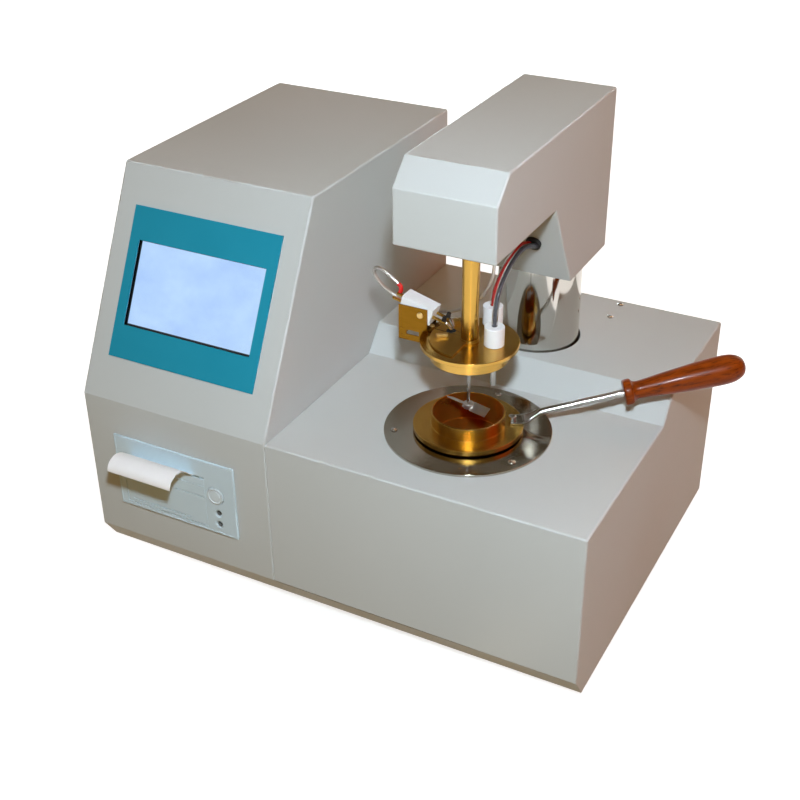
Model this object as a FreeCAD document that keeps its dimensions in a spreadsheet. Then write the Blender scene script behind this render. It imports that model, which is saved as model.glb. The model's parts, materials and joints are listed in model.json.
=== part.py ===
import FreeCAD
import Part
import math
import os
import re
import Sketcher
from FreeCAD import Placement, Rotation, Vector

# Closed cup flash point tester: a sheet steel console with screen and printer beside a low base that
# holds the heated cup, under an arm that a chrome sleeved column raises and lowers.
# Millimetres, +Z up, front towards -Y, and the origin is under the middle of the whole outline.

doc = FreeCAD.newDocument("flash_point_tester")

# Driving sizes, in millimetres.
SIZES = {
    # Sheet steel housing
    "total_width": 406, "console_width": 163, "depth": 291, "foot_height": 8,
    "base_height": 140, "deck_height": 160, "console_height": 298, "slope_run": 81,
    "step_front": 152, "step_run": 17, "lip_height": 19, "lip_run": 12.5,
    "wall": 1.5, "bend_radius": 1.5, "seam_gap": 0.4, "tongue": 10, "overrun": 20,
    "foot_radius": 11, "foot_margin": 36, "foot_bore": 4, "foot_bore_depth": 4,
    "vent_width": 60, "vent_height": 4, "vent_pitch": 10, "vent_low": 150,
    # Screen on the sloping face
    "screen_panel_width": 128.5, "screen_panel_height": 114, "screen_panel_low": 33, "overlay": 1,
    "window_width": 112, "window_height": 64, "window_low": 58, "window_margin": 1,
    "glass_thickness": 1.2, "glass_border": 4, "display_depth": 7, "display_border": 6,
    "fit_gap": 0.1,
    # Printer in the front face
    "bezel_width": 109.5, "bezel_height": 63.3, "bezel_left": 25, "bezel_low": 47.7, "bezel_depth": 3.2,
    "bezel_rim": 3.2, "bezel_field": 1.6, "bezel_collar": 3, "bezel_tuck": 5,
    "door_left": 7, "door_low": 4.2, "door_width": 75, "door_height": 42, "door_thickness": 2.4,
    "door_gap": 0.3, "notch_radius": 8, "notch_low": 16, "door_pin": 0.8, "pin_reach": 1.2,
    "slot_height": 1.6, "paper_width": 57, "paper_thickness": 0.3, "paper_inset": 9,
    "paper_rise": 12.2, "paper_reach": 30, "paper_drop": 6.2, "paper_tail": 2.5, "paper_lie": 0.35,
    "roll_radius": 17, "roll_core": 6.5, "roll_back": 34, "cradle_wall": 2, "cradle_gap": 1,
    "button_radius": 7.6, "button_inset": 18, "button_high": 34.6, "button_proud": 1.2, "button_travel": 1,
    "button_length": 4, "button_gap": 0.1,
    "lamp_radius": 1.7, "lamp_proud": 0.6, "lamp_pitch": 10, "lamp_low": 9, "lamp_inset": 16.5,
    # Rear panel, fan and power entry
    "fan_width": 80, "fan_depth": 25, "fan_bore": 38, "fan_side": 71, "fan_z": 70, "fan_hub": 15,
    "blade_tip": 36.5, "blade_depth": 16, "blade_thickness": 1.5, "guard_wire": 0.9, "strut_width": 5,
    "entry_width": 28, "entry_height": 48, "entry_depth": 22, "entry_low": 24,
    "entry_flange": 2.5, "entry_lip": 5, "socket_width": 22, "socket_height": 18, "socket_depth": 14,
    "socket_low": 5, "rocker_width": 10, "rocker_radius": 7.5, "rocker_depth": 5, "rocker_proud": 1,
    "rocker_clear": 1.4, "rocker_high": 36,
    "pin_width": 2, "pin_length": 10, "pin_pitch": 7,
    # Boards and power supply
    "board_width": 130, "board_depth": 100, "board_thickness": 1.6, "board_x": 15, "board_y": 80,
    "standoff_height": 12, "standoff_radius": 3, "chip_width": 24, "chip_height": 3, "port_height": 11,
    "supply_width": 110, "supply_depth": 70, "supply_height": 42, "supply_x": 22, "supply_y": 205,
    # Cup, bath plate and heater
    "cup_y": 84, "cup_bore": 25.4, "cup_depth": 55.9, "cup_wall": 2, "collar_wall": 1.1,
    "collar_height": 9.5, "flange_radius": 39.5, "flange_thickness": 3.7, "cup_floor": 2.4,
    "fill_mark_depth": 21.7, "fill_ledge": 0.4, "edge_ease": 0.4,
    "plate_radius": 60.5, "plate_thickness": 2, "well_neck": 34, "well_bore": 30.6, "neck_gap": 0.3,
    "seat_rise": 1.3, "well_radius": 38, "well_clear": 10, "well_floor": 5, "well_drop": 3,
    "heater_wall": 3.2, "heater_height": 35, "heater_low": 9,
    "wool_wall": 12, "wool_height": 50, "stand_thickness": 3, "stand_leg": 4, "stand_reach": 46,
    "screw_head": 2.6, "screw_rise": 1.4, "screw_shank": 1.3, "screw_length": 5, "plate_screw_circle": 53,
    "deck_screw_x": 42, "deck_screw_back": 7, "deck_screw_pitch": 24,
    # Cup handle
    "strap_near": 30, "strap_length": 9.5, "strap_width": 13, "strap_thickness": 1.5, "rod_radius": 2.6,
    "rod_start": 3, "knuckle_radius": 4.2, "rod_length": 78, "rod_tang": 60, "grip_length": 86.4, "grip_collar": 9.4,
    "grip_neck": 6.3, "grip_swell": 10.4, "grip_collar_length": 5.5, "grip_neck_length": 4,
    # Column and lift
    "column_y": 210, "column_radius": 32, "column_wall": 1.5, "column_engaged": 60, "deck_hole_gap": 1.7,
    "carriage_height": 12, "slide_gap": 0.3, "bore_gap": 0.05, "screw_radius": 4, "guide_radius": 3,
    "guide_reach": 24.6, "tie_height": 3, "tie_drop": 3, "tie_gap": 0.4, "screw_end": 0.5,
    "lift_motor_width": 42, "lift_motor_height": 22, "boss_radius": 11, "boss_height": 1.5, "boss_gap": 0.2,
    # Arm
    "arm_width": 73, "head_left": 2, "arm_front": 37, "arm_back": 244, "arm_height": 352, "arm_body": 55.5,
    "arm_nose_run": 17.5, "arm_nose_drop": 16.5, "arm_notch": 135.5, "housing_drop": 124,
    "housing_front": 173, "frame_thickness": 3, "frame_gap": 0.5, "frame_front": 6, "post_radius": 2.5,
    "post_reach": 24, "post_height": 21, "shelf_depth": 42, "shelf_width": 54, "motor_radius": 17,
    "motor_height": 22, "drive_radius": 19, "drive_bore": 5.2, "drive_height": 16,
    # Lid
    "head_raise": 54, "seat_gap": 0.1, "lid_radius": 34.7, "lid_thickness": 3, "skirt_outer": 28,
    "skirt_gap": 0.4, "skirt_drop": 9.5, "tube_radius": 6.1, "tube_bore": 4.7, "tube_fit": 0.05,
    "port_radius": 3.4, "port_reach": 17,
    "spigot_radius": 5.3, "spigot_height": 2.2, "boss_rise": 3.5, "boss_wide": 6,
    # Shutter
    "shutter_radius": 28, "shutter_thickness": 1.2, "hub_radius": 6.8, "hub_height": 2, "hub_gap": 0.05,
    "sleeve_radius": 4.6, "sleeve_bore": 1.6, "sleeve_top": 6, "cross_pin": 0.5, "cross_pin_rise": 1.1,
    "cross_pin_reach": 6.5, "cross_slot": 1.3, "catch_width": 4, "catch_height": 3, "catch_reach": 23.5,
    "lug_length": 8.3, "lug_width": 3, "lug_height": 2.4, "lug_reach": 19.3,
    # Stirrer
    "shaft_radius": 1.2, "shaft_drop": 50, "shaft_top": 8, "stir_hub_radius": 3.9, "stir_hub_height": 3.6,
    "stir_hub_rise": 0.6, "blade_reach": 17, "blade_width": 8.6, "blade_sheet": 0.8, "grub_radius": 1,
    "grub_proud": 0.8,
    # Probe and white caps
    "cap_radius": 7.05, "cap_height": 14.2, "probe_radius": 2, "probe_drop": 29.6, "probe_rise": 6,
    "cap_x": 17.7, "cap_y": 1.5, "detector_x": 6.5, "detector_y": 23.5,
    # Igniter
    "bracket_reach": 54.1, "bracket_width": 22.4, "bracket_low": 10.1, "bracket_rise": 16.6,
    "bracket_ahead": 2.8, "bracket_sheet": 1, "bracket_inner": 13.1, "bracket_slot_left": 6,
    "bracket_slot_low": 4.6, "bracket_slot_width": 10, "bracket_slot_height": 3.5, "bracket_notch": 18.9,
    "tab_length": 25.2, "tab_width": 8, "block_length": 25, "block_height": 12.9, "block_depth": 12.5,
    "block_gap": 0.3, "pivot_in": 17.2, "pivot_down": 7.3, "pivot_reach": 37, "pivot_rise": 11.5,
    "pivot_radius": 1.5, "pivot_head": 2.4, "pivot_head_rise": 1, "pivot_bite": 1.4,
    "spark_radius": 1.1, "spark_pitch": 6.8,
    "spark_back": 7.5, "spark_front": 11, "spark_down": 6.4, "tip_radius": 1.3, "tip_reach": 15.5, "tip_rise": 2.9,
    "tip_spread": 1.9, "clamp_radius": 1.7, "clamp_height": 3.4, "clamp_in": 8.5, "wire_radius": 0.3,
    # Cable entries and leads
    "grommet_radius": 5.7, "grommet_proud": 3, "grommet_neck": 4.6, "grommet_x": 16, "grommet_down": 39,
    "bush_radius": 3, "bush_height": 2, "lead_radius": 2, "thin_lead_radius": 1.2, "lead_pitch": 4.2,
}

# Angles, in degrees.
ANGLES = {
    "grip_azimuth": 30, "grip_rise": 13.5, "port_azimuth": 165, "shutter_start": 130, "shutter_end": 270,
    "catch_azimuth": 138, "pin_azimuth": 300, "shutter_swing": 30, "slot_margin": 12, "lug_azimuth": 200,
    "lug_turn": 37, "blade_azimuth": -14, "blade_tilt": 30, "igniter_tilt": 15,
    "plate_screw_start": -30, "fan_blade_twist": 35,
}

COUNTS = {"vents": 9, "fan_blades": 7, "plate_screws": 3, "guard_rings": 3}

# Places worked out from the driving sizes.
PLACES = {
    "head_x": "(console_width + total_width) / 2 - head_left",
    "bracket_left": "head_x - bracket_reach",
    "bracket_front": "cup_y - bracket_ahead",
    "pivot_x": "head_x - pivot_reach",
    "tip_x": "head_x - tip_reach",
    "fan_x": "total_width - fan_side",
    "entry_x": "(console_width + fan_x - fan_width / 2 - entry_width) / 2",
    "base_top": "foot_height + base_height",
    "deck_top": "foot_height + deck_height",
    "console_top": "foot_height + console_height",
    "floor_top": "foot_height + wall",
    "lip_top": "foot_height + lip_height",
    "slope_rise": "console_height - base_height",
    "slope_length": "sqrt(slope_run^2 + slope_rise^2)",
    "knee_inset": "wall * (slope_length - slope_rise) / slope_run",
    "ridge_inset": "wall * (slope_length - slope_run) / slope_rise",
    "step_rise": "deck_height - base_height",
    "step_length": "sqrt(step_run^2 + step_rise^2)",
    "step_inset": "wall * (step_length - step_run) / step_rise",
    "lip_length": "sqrt(lip_height^2 + lip_run^2)",
    "lip_inner": "wall * (lip_length - lip_run) / lip_height",
    "window_x": "(console_width - window_width) / 2",
    "screen_panel_x": "(console_width - screen_panel_width) / 2",
    "bezel_bottom": "foot_height + bezel_low",
    "door_x": "bezel_left + door_left",
    "door_bottom": "bezel_bottom + door_low",
    "door_top": "door_bottom + door_height",
    "slot_bottom": "door_top + door_gap",
    "plate_top": "base_top + plate_thickness",
    "flange_under": "plate_top + seat_rise",
    "flange_top": "flange_under + flange_thickness",
    "rim_z": "flange_top + collar_height",
    "cup_inside": "rim_z - cup_depth",
    "cup_under": "cup_inside - cup_floor",
    "well_inside": "cup_under - well_clear",
    "well_under": "well_inside - well_floor",
    "well_top": "base_top - wall - well_drop",
    "stand_top": "well_under",
    "lid_under": "rim_z + seat_gap + head_raise",
    "lid_top": "lid_under + lid_thickness",
    "arm_top": "foot_height + arm_height",
    "arm_floor": "arm_top - arm_body",
    "arm_inside": "arm_floor + wall",
    "arm_left": "head_x + head_left - arm_width / 2",
    "housing_floor": "arm_top - housing_drop",
    "nose_length": "sqrt(arm_nose_run^2 + arm_nose_drop^2)",
    "nose_low_inset": "wall * (nose_length - arm_nose_drop) / arm_nose_run",
    "nose_high_inset": "wall * (nose_length - arm_nose_run) / arm_nose_drop",
    "brace_run": "housing_front - arm_notch",
    "brace_rise": "housing_drop - arm_body",
    "brace_length": "sqrt(brace_run^2 + brace_rise^2)",
    "brace_inset": "wall * (brace_length - brace_run) / brace_rise",
    "frame_top": "arm_inside + frame_thickness",
    "column_under": "deck_top - column_engaged",
    "column_length": "arm_inside - column_under",
    "tie_under": "deck_top - wall - tie_drop - tie_height",
    "motor_top": "floor_top + lift_motor_height + boss_height",
    "shaft_under": "lid_under - shaft_drop - stir_hub_rise",
    "shelf_under": "frame_top + post_height",
    "shelf_top": "shelf_under + frame_thickness",
    "bracket_bottom": "lid_top - bracket_low",
    "pivot_z": "lid_top + pivot_rise",
    "igniter_y": "bracket_front + bracket_sheet + block_gap + block_depth / 2",
    "grip_reach": "strap_near + strap_length / 2",
    "rod_base": "flange_top + rod_radius",
    "probe_x": "head_x + cap_x",
    "probe_y": "cup_y + cap_y",
    "sensor_x": "head_x + detector_x",
    "sensor_y": "cup_y + detector_y",
    "reach_x": "head_x + (grip_reach + (rod_length + grip_length) * cos(grip_rise * 1 deg)) "
               "* cos(grip_azimuth * 1 deg)",
    "datum_x": "reach_x / 2",
    "datum_y": "(depth + entry_flange + rocker_proud - paper_reach) / 2",
}

sheet = doc.addObject("Spreadsheet::Sheet", "sizes")
NAMES = list(SIZES) + list(ANGLES) + list(COUNTS) + list(PLACES)


def fill_sheet():
    """One row for each name: plain numbers first, then the places worked out from them."""
    numbers = {**SIZES, **ANGLES, **COUNTS}
    for row, name in enumerate(NAMES, 1):
        sheet.set("A%d" % row, name)
        sheet.set("B%d" % row, str(numbers[name]) if name in numbers else "=" + PLACES[name])
        sheet.setAlias("B%d" % row, name)
    doc.recompute()


fill_sheet()


def size(name):
    """The value of one name, as the sheet has it."""
    return float(sheet.get(name))


def in_sheet(formula):
    """A formula of names, as an expression that reads the sheet."""
    return re.sub(r"[a-z_][a-z0-9_]*", lambda m: "sizes." + m[0] if m[0] in NAMES else m[0], formula)


def bind(thing, **formulas):
    for name, formula in formulas.items():
        thing.setExpression(name.replace("__", "."), in_sheet(formula))
    return thing


TURNS = {
    "z": Rotation(),
    "x": Rotation(Vector(0, 1, 0), 90),
    "y": Rotation(Vector(1, 0, 0), -90),
    "-y": Rotation(Vector(1, 0, 0), 90),
}


def at(thing, x="0", y="0", z="0", turn=None, local=False):
    """Puts a piece at a place of the housing, whose corner is left of and before the origin."""
    if turn is not None:
        thing.Placement = Placement(Vector(), turn)
    shift_x = "" if local else " - datum_x"
    shift_y = "" if local else " - datum_y"
    bind(thing, Placement__Base__x=x + shift_x, Placement__Base__y=y + shift_y, Placement__Base__z=z)
    return thing


def block(name, x, y, z, length, width, height, local=False):
    box = doc.addObject("Part::Box", name)
    bind(box, Length=length, Width=width, Height=height)
    return at(box, x, y, z, local=local)


def rod(name, x, y, z, radius, height, axis="z", local=False):
    cylinder = doc.addObject("Part::Cylinder", name)
    bind(cylinder, Radius=radius, Height=height)
    return at(cylinder, x, y, z, TURNS[axis], local)


def cut(name, base, *tools):
    result = doc.addObject("Part::Cut", name)
    result.Base = base
    result.Tool = tools[0] if len(tools) == 1 else fuse(name + "_holes", *tools)
    return result


def fuse(name, *pieces):
    result = doc.addObject("Part::MultiFuse", name)
    result.Shapes = list(pieces)
    return result


def group(name, *pieces):
    """Identical or paired solids that share one node."""
    result = doc.addObject("Part::Compound", name)
    result.Links = list(pieces)
    return result


def ring(name, x, y, z, outer, inner, height, axis="z", local=False):
    return cut(
        name,
        rod(name + "_outer", x, y, z, outer, height, axis, local),
        rod(name + "_bore", x, y, z, inner, height, axis, local),
    )


def body_of(name):
    return doc.addObject("PartDesign::Body", name)


def outline(body, name, plane, corners):
    """A closed outline of straight runs, each corner held by its two distances from the origin."""
    sketch = body.newObject("Sketcher::SketchObject", name)
    origin_plane = next(f for f in body.Origin.OriginFeatures if f.Role == plane)
    sketch.AttachmentSupport = [(origin_plane, "")]
    sketch.MapMode = "FlatFace"
    count = len(corners)
    start = [Vector(math.cos(2 * math.pi * i / count), math.sin(2 * math.pi * i / count), 0) for i in range(count)]
    for i in range(count):
        sketch.addGeometry(Part.LineSegment(start[i], start[(i + 1) % count]), False)
    for i in range(count):
        sketch.addConstraint(Sketcher.Constraint("Coincident", i, 2, (i + 1) % count, 1))
    for i, (across, up) in enumerate(corners):
        for kind, formula, value in (("DistanceX", across, start[i].x), ("DistanceY", up, start[i].y)):
            number = sketch.addConstraint(Sketcher.Constraint(kind, -1, 1, i, 1, value))
            bind(sketch, **{"Constraints[%d]" % number: formula})
    return sketch


def pad(body, name, plane, corners, length):
    sketch = outline(body, name + "_outline", plane, corners)
    feature = body.newObject("PartDesign::Pad", name)
    feature.Profile = sketch
    return bind(feature, Length=length)


def turned(name, corners, plane="XZ_Plane", axis="V_Axis"):
    """A body of revolution: corners are radius and height, or length and radius about the other axis."""
    body = body_of(name)
    sketch = outline(body, name + "_outline", plane, corners)
    feature = body.newObject("PartDesign::Revolution", name + "_turning")
    feature.Profile = sketch
    feature.ReferenceAxis = (sketch, [axis])
    feature.Angle = 360
    return body


def extruded(name, corners, x, length, plane="YZ_Plane"):
    body = body_of(name)
    pad(body, name + "_pad", plane, corners, length)
    return at(body, x)


def rounded(body, feature, radius, chosen):
    """Rounds the edges of a feature that the test picks."""
    doc.recompute()
    names = ["Edge%d" % i for i, edge in enumerate(feature.Shape.Edges, 1) if chosen(edge)]
    fillet = body.newObject("PartDesign::Fillet", feature.Name + "_bends")
    fillet.Base = (feature, names)
    bind(fillet, Radius=radius)
    return fillet


# Housing of sheet steel


def make_base_pan():
    """Floor tray, with the chamfered strip that runs along the whole front and tucks up behind it."""
    rise = "lip_height * (1 - wall / lip_run)"
    inner = "lip_height * (1 - 2 * wall / lip_run) + wall * lip_length / lip_run"
    corners = [
        ("lip_run", "foot_height"),
        ("wall", "foot_height + " + rise),
        ("wall", "lip_top + tongue"),
        ("2 * wall", "lip_top + tongue"),
        ("2 * wall", "foot_height + " + inner),
        ("lip_run + lip_inner", "floor_top"),
        ("depth - wall", "floor_top"),
        ("depth - wall", "foot_height"),
    ]
    return extruded("base_pan", corners, "wall", "total_width - 2 * wall")


def make_feet():
    feet = []
    for i, x in enumerate(("foot_margin", "total_width - foot_margin")):
        for j, y in enumerate(("foot_margin", "depth - foot_margin")):
            foot = rod("foot_%d%d" % (i, j), x, y, "0", "foot_radius", "foot_height")
            bore = rod("foot_bore_%d%d" % (i, j), x, y, "0", "foot_bore", "foot_bore_depth")
            feet.append(cut("foot_piece_%d%d" % (i, j), foot, bore))
    return group("rubber_feet", *feet)


def outer_edge(edge):
    """Long outer bends of a cover, apart from its open bottom and back."""
    box = edge.BoundBox
    high = box.ZMin > size("lip_top") + size("wall")
    corner = box.ZMax > size("base_top") - size("wall") and box.YMax < size("wall")
    return (high or corner) and box.YMin < size("depth") - size("wall")


def make_console_shell():
    body = body_of("console_outer")
    corners = [
        ("0", "lip_top"), ("0", "base_top"), ("slope_run", "console_top"),
        ("depth", "console_top"), ("depth", "foot_height"), ("lip_run", "foot_height"),
    ]
    feature = pad(body, "console_pad", "YZ_Plane", corners, "console_width")
    rounded(body, feature, "bend_radius", outer_edge)
    at(body)
    hollow = extruded("console_hollow", [
        ("wall", "foot_height - overrun"),
        ("wall", "base_top - knee_inset"),
        ("slope_run + ridge_inset", "console_top - wall"),
        ("depth + overrun", "console_top - wall"),
        ("depth + overrun", "foot_height - overrun"),
    ], "wall", "console_width - 2 * wall")
    window = block(
        "window_hole", "window_x - window_margin", "-overrun", "window_low - window_margin",
        "window_width + 2 * window_margin", "2 * overrun", "window_height + 2 * window_margin", local=True,
    )
    lean(window, "window_x - window_margin", "-overrun", "window_low - window_margin")
    printer_hole = block(
        "printer_hole", "bezel_left + bezel_collar", "-overrun", "bezel_bottom + bezel_collar",
        "bezel_width - 2 * bezel_collar", "2 * overrun", "bezel_height - 2 * bezel_collar",
    )
    passage = block(
        "console_passage", "console_width - wall", "wall", "foot_height - overrun", "overrun", "depth - 2 * wall",
        "base_height + overrun - tongue",
    )
    return cut("console_shell", body, hollow, window, printer_hole, passage)


def slope_turn():
    return Rotation(Vector(1, 0, 0), -math.degrees(math.atan2(size("slope_run"), size("slope_rise"))))


def lean(thing, x, into, up):
    """Lays a piece on the sloping face: x across, into the face, and up along it from the knee."""
    thing.Placement = Placement(Vector(), slope_turn())
    bind(
        thing,
        Placement__Base__x=x + " - datum_x",
        Placement__Base__y="((%s) * slope_rise + (%s) * slope_run) / slope_length - datum_y" % (into, up),
        Placement__Base__z="base_top + ((%s) * slope_rise - (%s) * slope_run) / slope_length" % (up, into),
    )
    return thing


def slope_block(name, x, into, up, length, width, height):
    return lean(block(name, x, into, up, length, width, height, local=True), x, into, up)


def make_base_cover():
    left = "console_width + seam_gap"
    body = body_of("base_outer")
    corners = [
        ("0", "lip_top"), ("0", "base_top"), ("step_front", "base_top"),
        ("step_front + step_run", "deck_top"), ("depth", "deck_top"), ("depth", "foot_height"),
        ("lip_run", "foot_height"),
    ]
    feature = pad(body, "base_pad", "YZ_Plane", corners, "total_width - (%s)" % left)
    rounded(
        body, feature, "bend_radius",
        lambda edge: outer_edge(edge)
        and edge.BoundBox.XMax > size("total_width") - size("console_width") - size("wall"),
    )
    at(body, left)
    hollow = extruded("base_hollow", [
        ("wall", "foot_height - overrun"),
        ("wall", "base_top - wall"),
        ("step_front + step_inset", "base_top - wall"),
        ("step_front + step_run + step_inset", "deck_top - wall"),
        ("depth + overrun", "deck_top - wall"),
        ("depth + overrun", "foot_height - overrun"),
    ], "console_width - overrun", "total_width - console_width + overrun - wall")
    cup_hole = rod("cup_hole", "head_x", "cup_y", "base_top - overrun", "well_neck + neck_gap", "2 * overrun")
    column_hole = rod(
        "column_hole", "head_x", "column_y", "deck_top - overrun", "column_radius + deck_hole_gap", "2 * overrun"
    )
    holes = [cup_hole, column_hole]
    for i, (x, y) in enumerate(plate_screw_places()):
        holes.append(rod("plate_screw_hole_%d" % i, x, y, "base_top - overrun", "screw_shank", "2 * overrun"))
    for i, (x, y) in enumerate(deck_screw_places()):
        holes.append(rod("deck_screw_hole_%d" % i, x, y, "deck_top - overrun", "screw_shank", "2 * overrun"))
    return cut("base_cover", body, *holes, hollow)


def plate_screw_places():
    for i in range(COUNTS["plate_screws"]):
        angle = "(plate_screw_start + %d * 360 / plate_screws) * 1 deg" % i
        yield ("head_x + plate_screw_circle * cos(%s)" % angle, "cup_y + plate_screw_circle * sin(%s)" % angle)


def deck_screw_places():
    x = "head_x + deck_screw_x"
    yield (x, "depth - deck_screw_back")
    yield (x, "depth - deck_screw_back - deck_screw_pitch")


def make_rear_panels():
    """Two plates that close the back: the tall one with vents, the low one with fan and power entry."""
    tall = block("tall_plate", "wall", "depth - wall", "floor_top", "console_width - 2 * wall", "wall",
                 "console_top - wall - floor_top")
    vents = [
        block("vent_%d" % i, "(console_width - vent_width) / 2", "depth - overrun",
              "vent_low + %d * vent_pitch" % i, "vent_width", "2 * overrun", "vent_height")
        for i in range(COUNTS["vents"])
    ]
    low = block("low_plate", "console_width + seam_gap", "depth - wall", "floor_top",
                "total_width - console_width - seam_gap - wall", "wall", "deck_top - wall - floor_top")
    fan_hole = rod("fan_hole", "fan_x", "depth - overrun", "fan_z", "fan_bore", "2 * overrun", "y")
    entry_hole = block("entry_hole", "entry_x", "depth - overrun", "foot_height + entry_low", "entry_width",
                       "2 * overrun", "entry_height")
    return group("rear_panels", cut("tall_panel", tall, *vents), cut("low_panel", low, fan_hole, entry_hole))


# Screen


def make_screen():
    top = slope_block("overlay_sheet", "screen_panel_x", "-overlay", "screen_panel_low", "screen_panel_width",
                      "overlay", "screen_panel_height")
    hole = slope_block("overlay_window", "window_x", "-overrun", "window_low", "window_width", "2 * overrun",
                       "window_height")
    panel = cut("screen_panel", top, hole)
    glass = slope_block(
        "screen_glass", "window_x - glass_border", "wall", "window_low - glass_border",
        "window_width + 2 * glass_border", "glass_thickness", "window_height + 2 * glass_border",
    )
    display = slope_block(
        "lcd_module", "window_x - display_border", "wall + glass_thickness",
        "window_low - display_border", "window_width + 2 * display_border", "display_depth",
        "window_height + 2 * display_border",
    )
    return [panel, glass, display]


# Printer


def make_printer():
    x = "bezel_left"
    z = "bezel_bottom"
    plate = block("bezel_plate", x, "-bezel_depth", z, "bezel_width", "bezel_depth", "bezel_height")
    tuck = block("bezel_tuck_in", x + " + bezel_collar + door_gap", "0", z + " + bezel_collar + door_gap",
                 "bezel_width - 2 * bezel_collar - 2 * door_gap", "bezel_tuck",
                 "bezel_height - 2 * bezel_collar - 2 * door_gap")
    field = block("bezel_recess", x + " + bezel_rim", "-bezel_depth - overrun", z + " + bezel_rim",
                  "bezel_width - 2 * bezel_rim", "overrun + bezel_field", "bezel_height - 2 * bezel_rim")
    door_hole = block("door_hole", "door_x - door_gap", "-overrun", "door_bottom - door_gap",
                      "door_width + 2 * door_gap", "2 * overrun", "door_height + 2 * door_gap + slot_height")
    button_x = "bezel_left + bezel_width - button_inset"
    button_z = "bezel_bottom + button_high"
    lamp_x = "bezel_left + bezel_width - lamp_inset"
    button_hole = rod("button_hole", button_x, "-overrun", button_z, "button_radius + button_gap", "2 * overrun", "y")
    lamp_holes = []
    lamps = []
    face = "-bezel_depth + bezel_field"
    for i in range(2):
        lamp_z = "bezel_bottom + lamp_low + %d * lamp_pitch" % i
        lamp_holes.append(rod("lamp_hole_%d" % i, lamp_x, "-overrun", lamp_z, "lamp_radius", "2 * overrun", "y"))
        lamps.append(rod("lamp_%d" % i, lamp_x, face + " - lamp_proud", lamp_z, "lamp_radius",
                         "bezel_depth + bezel_tuck - bezel_field", "y"))
    pin_hole = rod("door_pin_hole", "door_x - door_gap - pin_reach - fit_gap", face + " + door_thickness / 2",
                   "door_bottom + door_thickness / 2", "door_pin + bore_gap",
                   "door_width + 2 * (door_gap + pin_reach + fit_gap)", "x")
    bezel = cut("printer_bezel", fuse("bezel_block", plate, tuck), field, door_hole, button_hole, pin_hole,
                *lamp_holes)
    button = rod("feed_button", button_x, face + " - button_proud", button_z, "button_radius",
                 "button_proud + button_length", "y")
    hinge_y = face + " + door_thickness / 2"
    hinge_z = "door_bottom + door_thickness / 2"
    leaf = fuse(
        "door_leaf",
        block("door_plate", "door_x", face, hinge_z, "door_width", "door_thickness",
              "door_height - door_thickness / 2"),
        rod("door_edge", "door_x", hinge_y, hinge_z, "door_thickness / 2", "door_width", "x"),
        rod("door_pins", "door_x - door_gap - pin_reach", hinge_y, hinge_z, "door_pin",
            "door_width + 2 * door_gap + 2 * pin_reach", "x"),
    )
    notch = rod("door_notch", "door_x + door_width / 2", face + " - overrun", "door_top - notch_low",
                "notch_radius", "overrun + door_thickness / 2", "y")
    roof = block("notch_cover", "door_x", face + " - overrun", "door_top - notch_low", "door_width",
                 "2 * overrun", "door_height")
    door = cut("printer_door", leaf, cut("notch_half", notch, roof))
    case = block("cradle_block", "door_x", "bezel_tuck", "door_bottom", "door_width",
                 "roll_back + roll_radius + cradle_gap + cradle_wall - bezel_tuck", "door_height")
    flange = block("cradle_flange", "door_x - cradle_wall", "bezel_tuck", "door_bottom - cradle_wall",
                   "door_width + 2 * cradle_wall", "cradle_wall", "door_height + cradle_wall")
    outer = fuse("cradle_outer", case, flange)
    roll_x = "door_x + (door_width - paper_width) / 2"
    roll_z = "door_bottom + door_height / 2"
    cavity = rod("cradle_cavity", "door_x + cradle_wall", "roll_back", roll_z, "roll_radius + cradle_gap",
                 "door_width - 2 * cradle_wall", "x")
    mouth = block("cradle_mouth", "door_x + cradle_wall", "0", roll_z + " - roll_radius",
                  "door_width - 2 * cradle_wall", "roll_back", "2 * roll_radius")
    core = rod("roll_axle", "door_x", "roll_back", roll_z, "roll_core - fit_gap", "door_width", "x")
    cradle = fuse("printer_body", cut("cradle_shell", outer, cavity, mouth), core)
    paper = ring("paper_roll", roll_x, "roll_back", roll_z, "roll_radius", "roll_core", "paper_width", "x")
    return [bezel, button, door, cradle, paper, group("printer_lamps", *lamps), make_paper_strip()]


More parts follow.
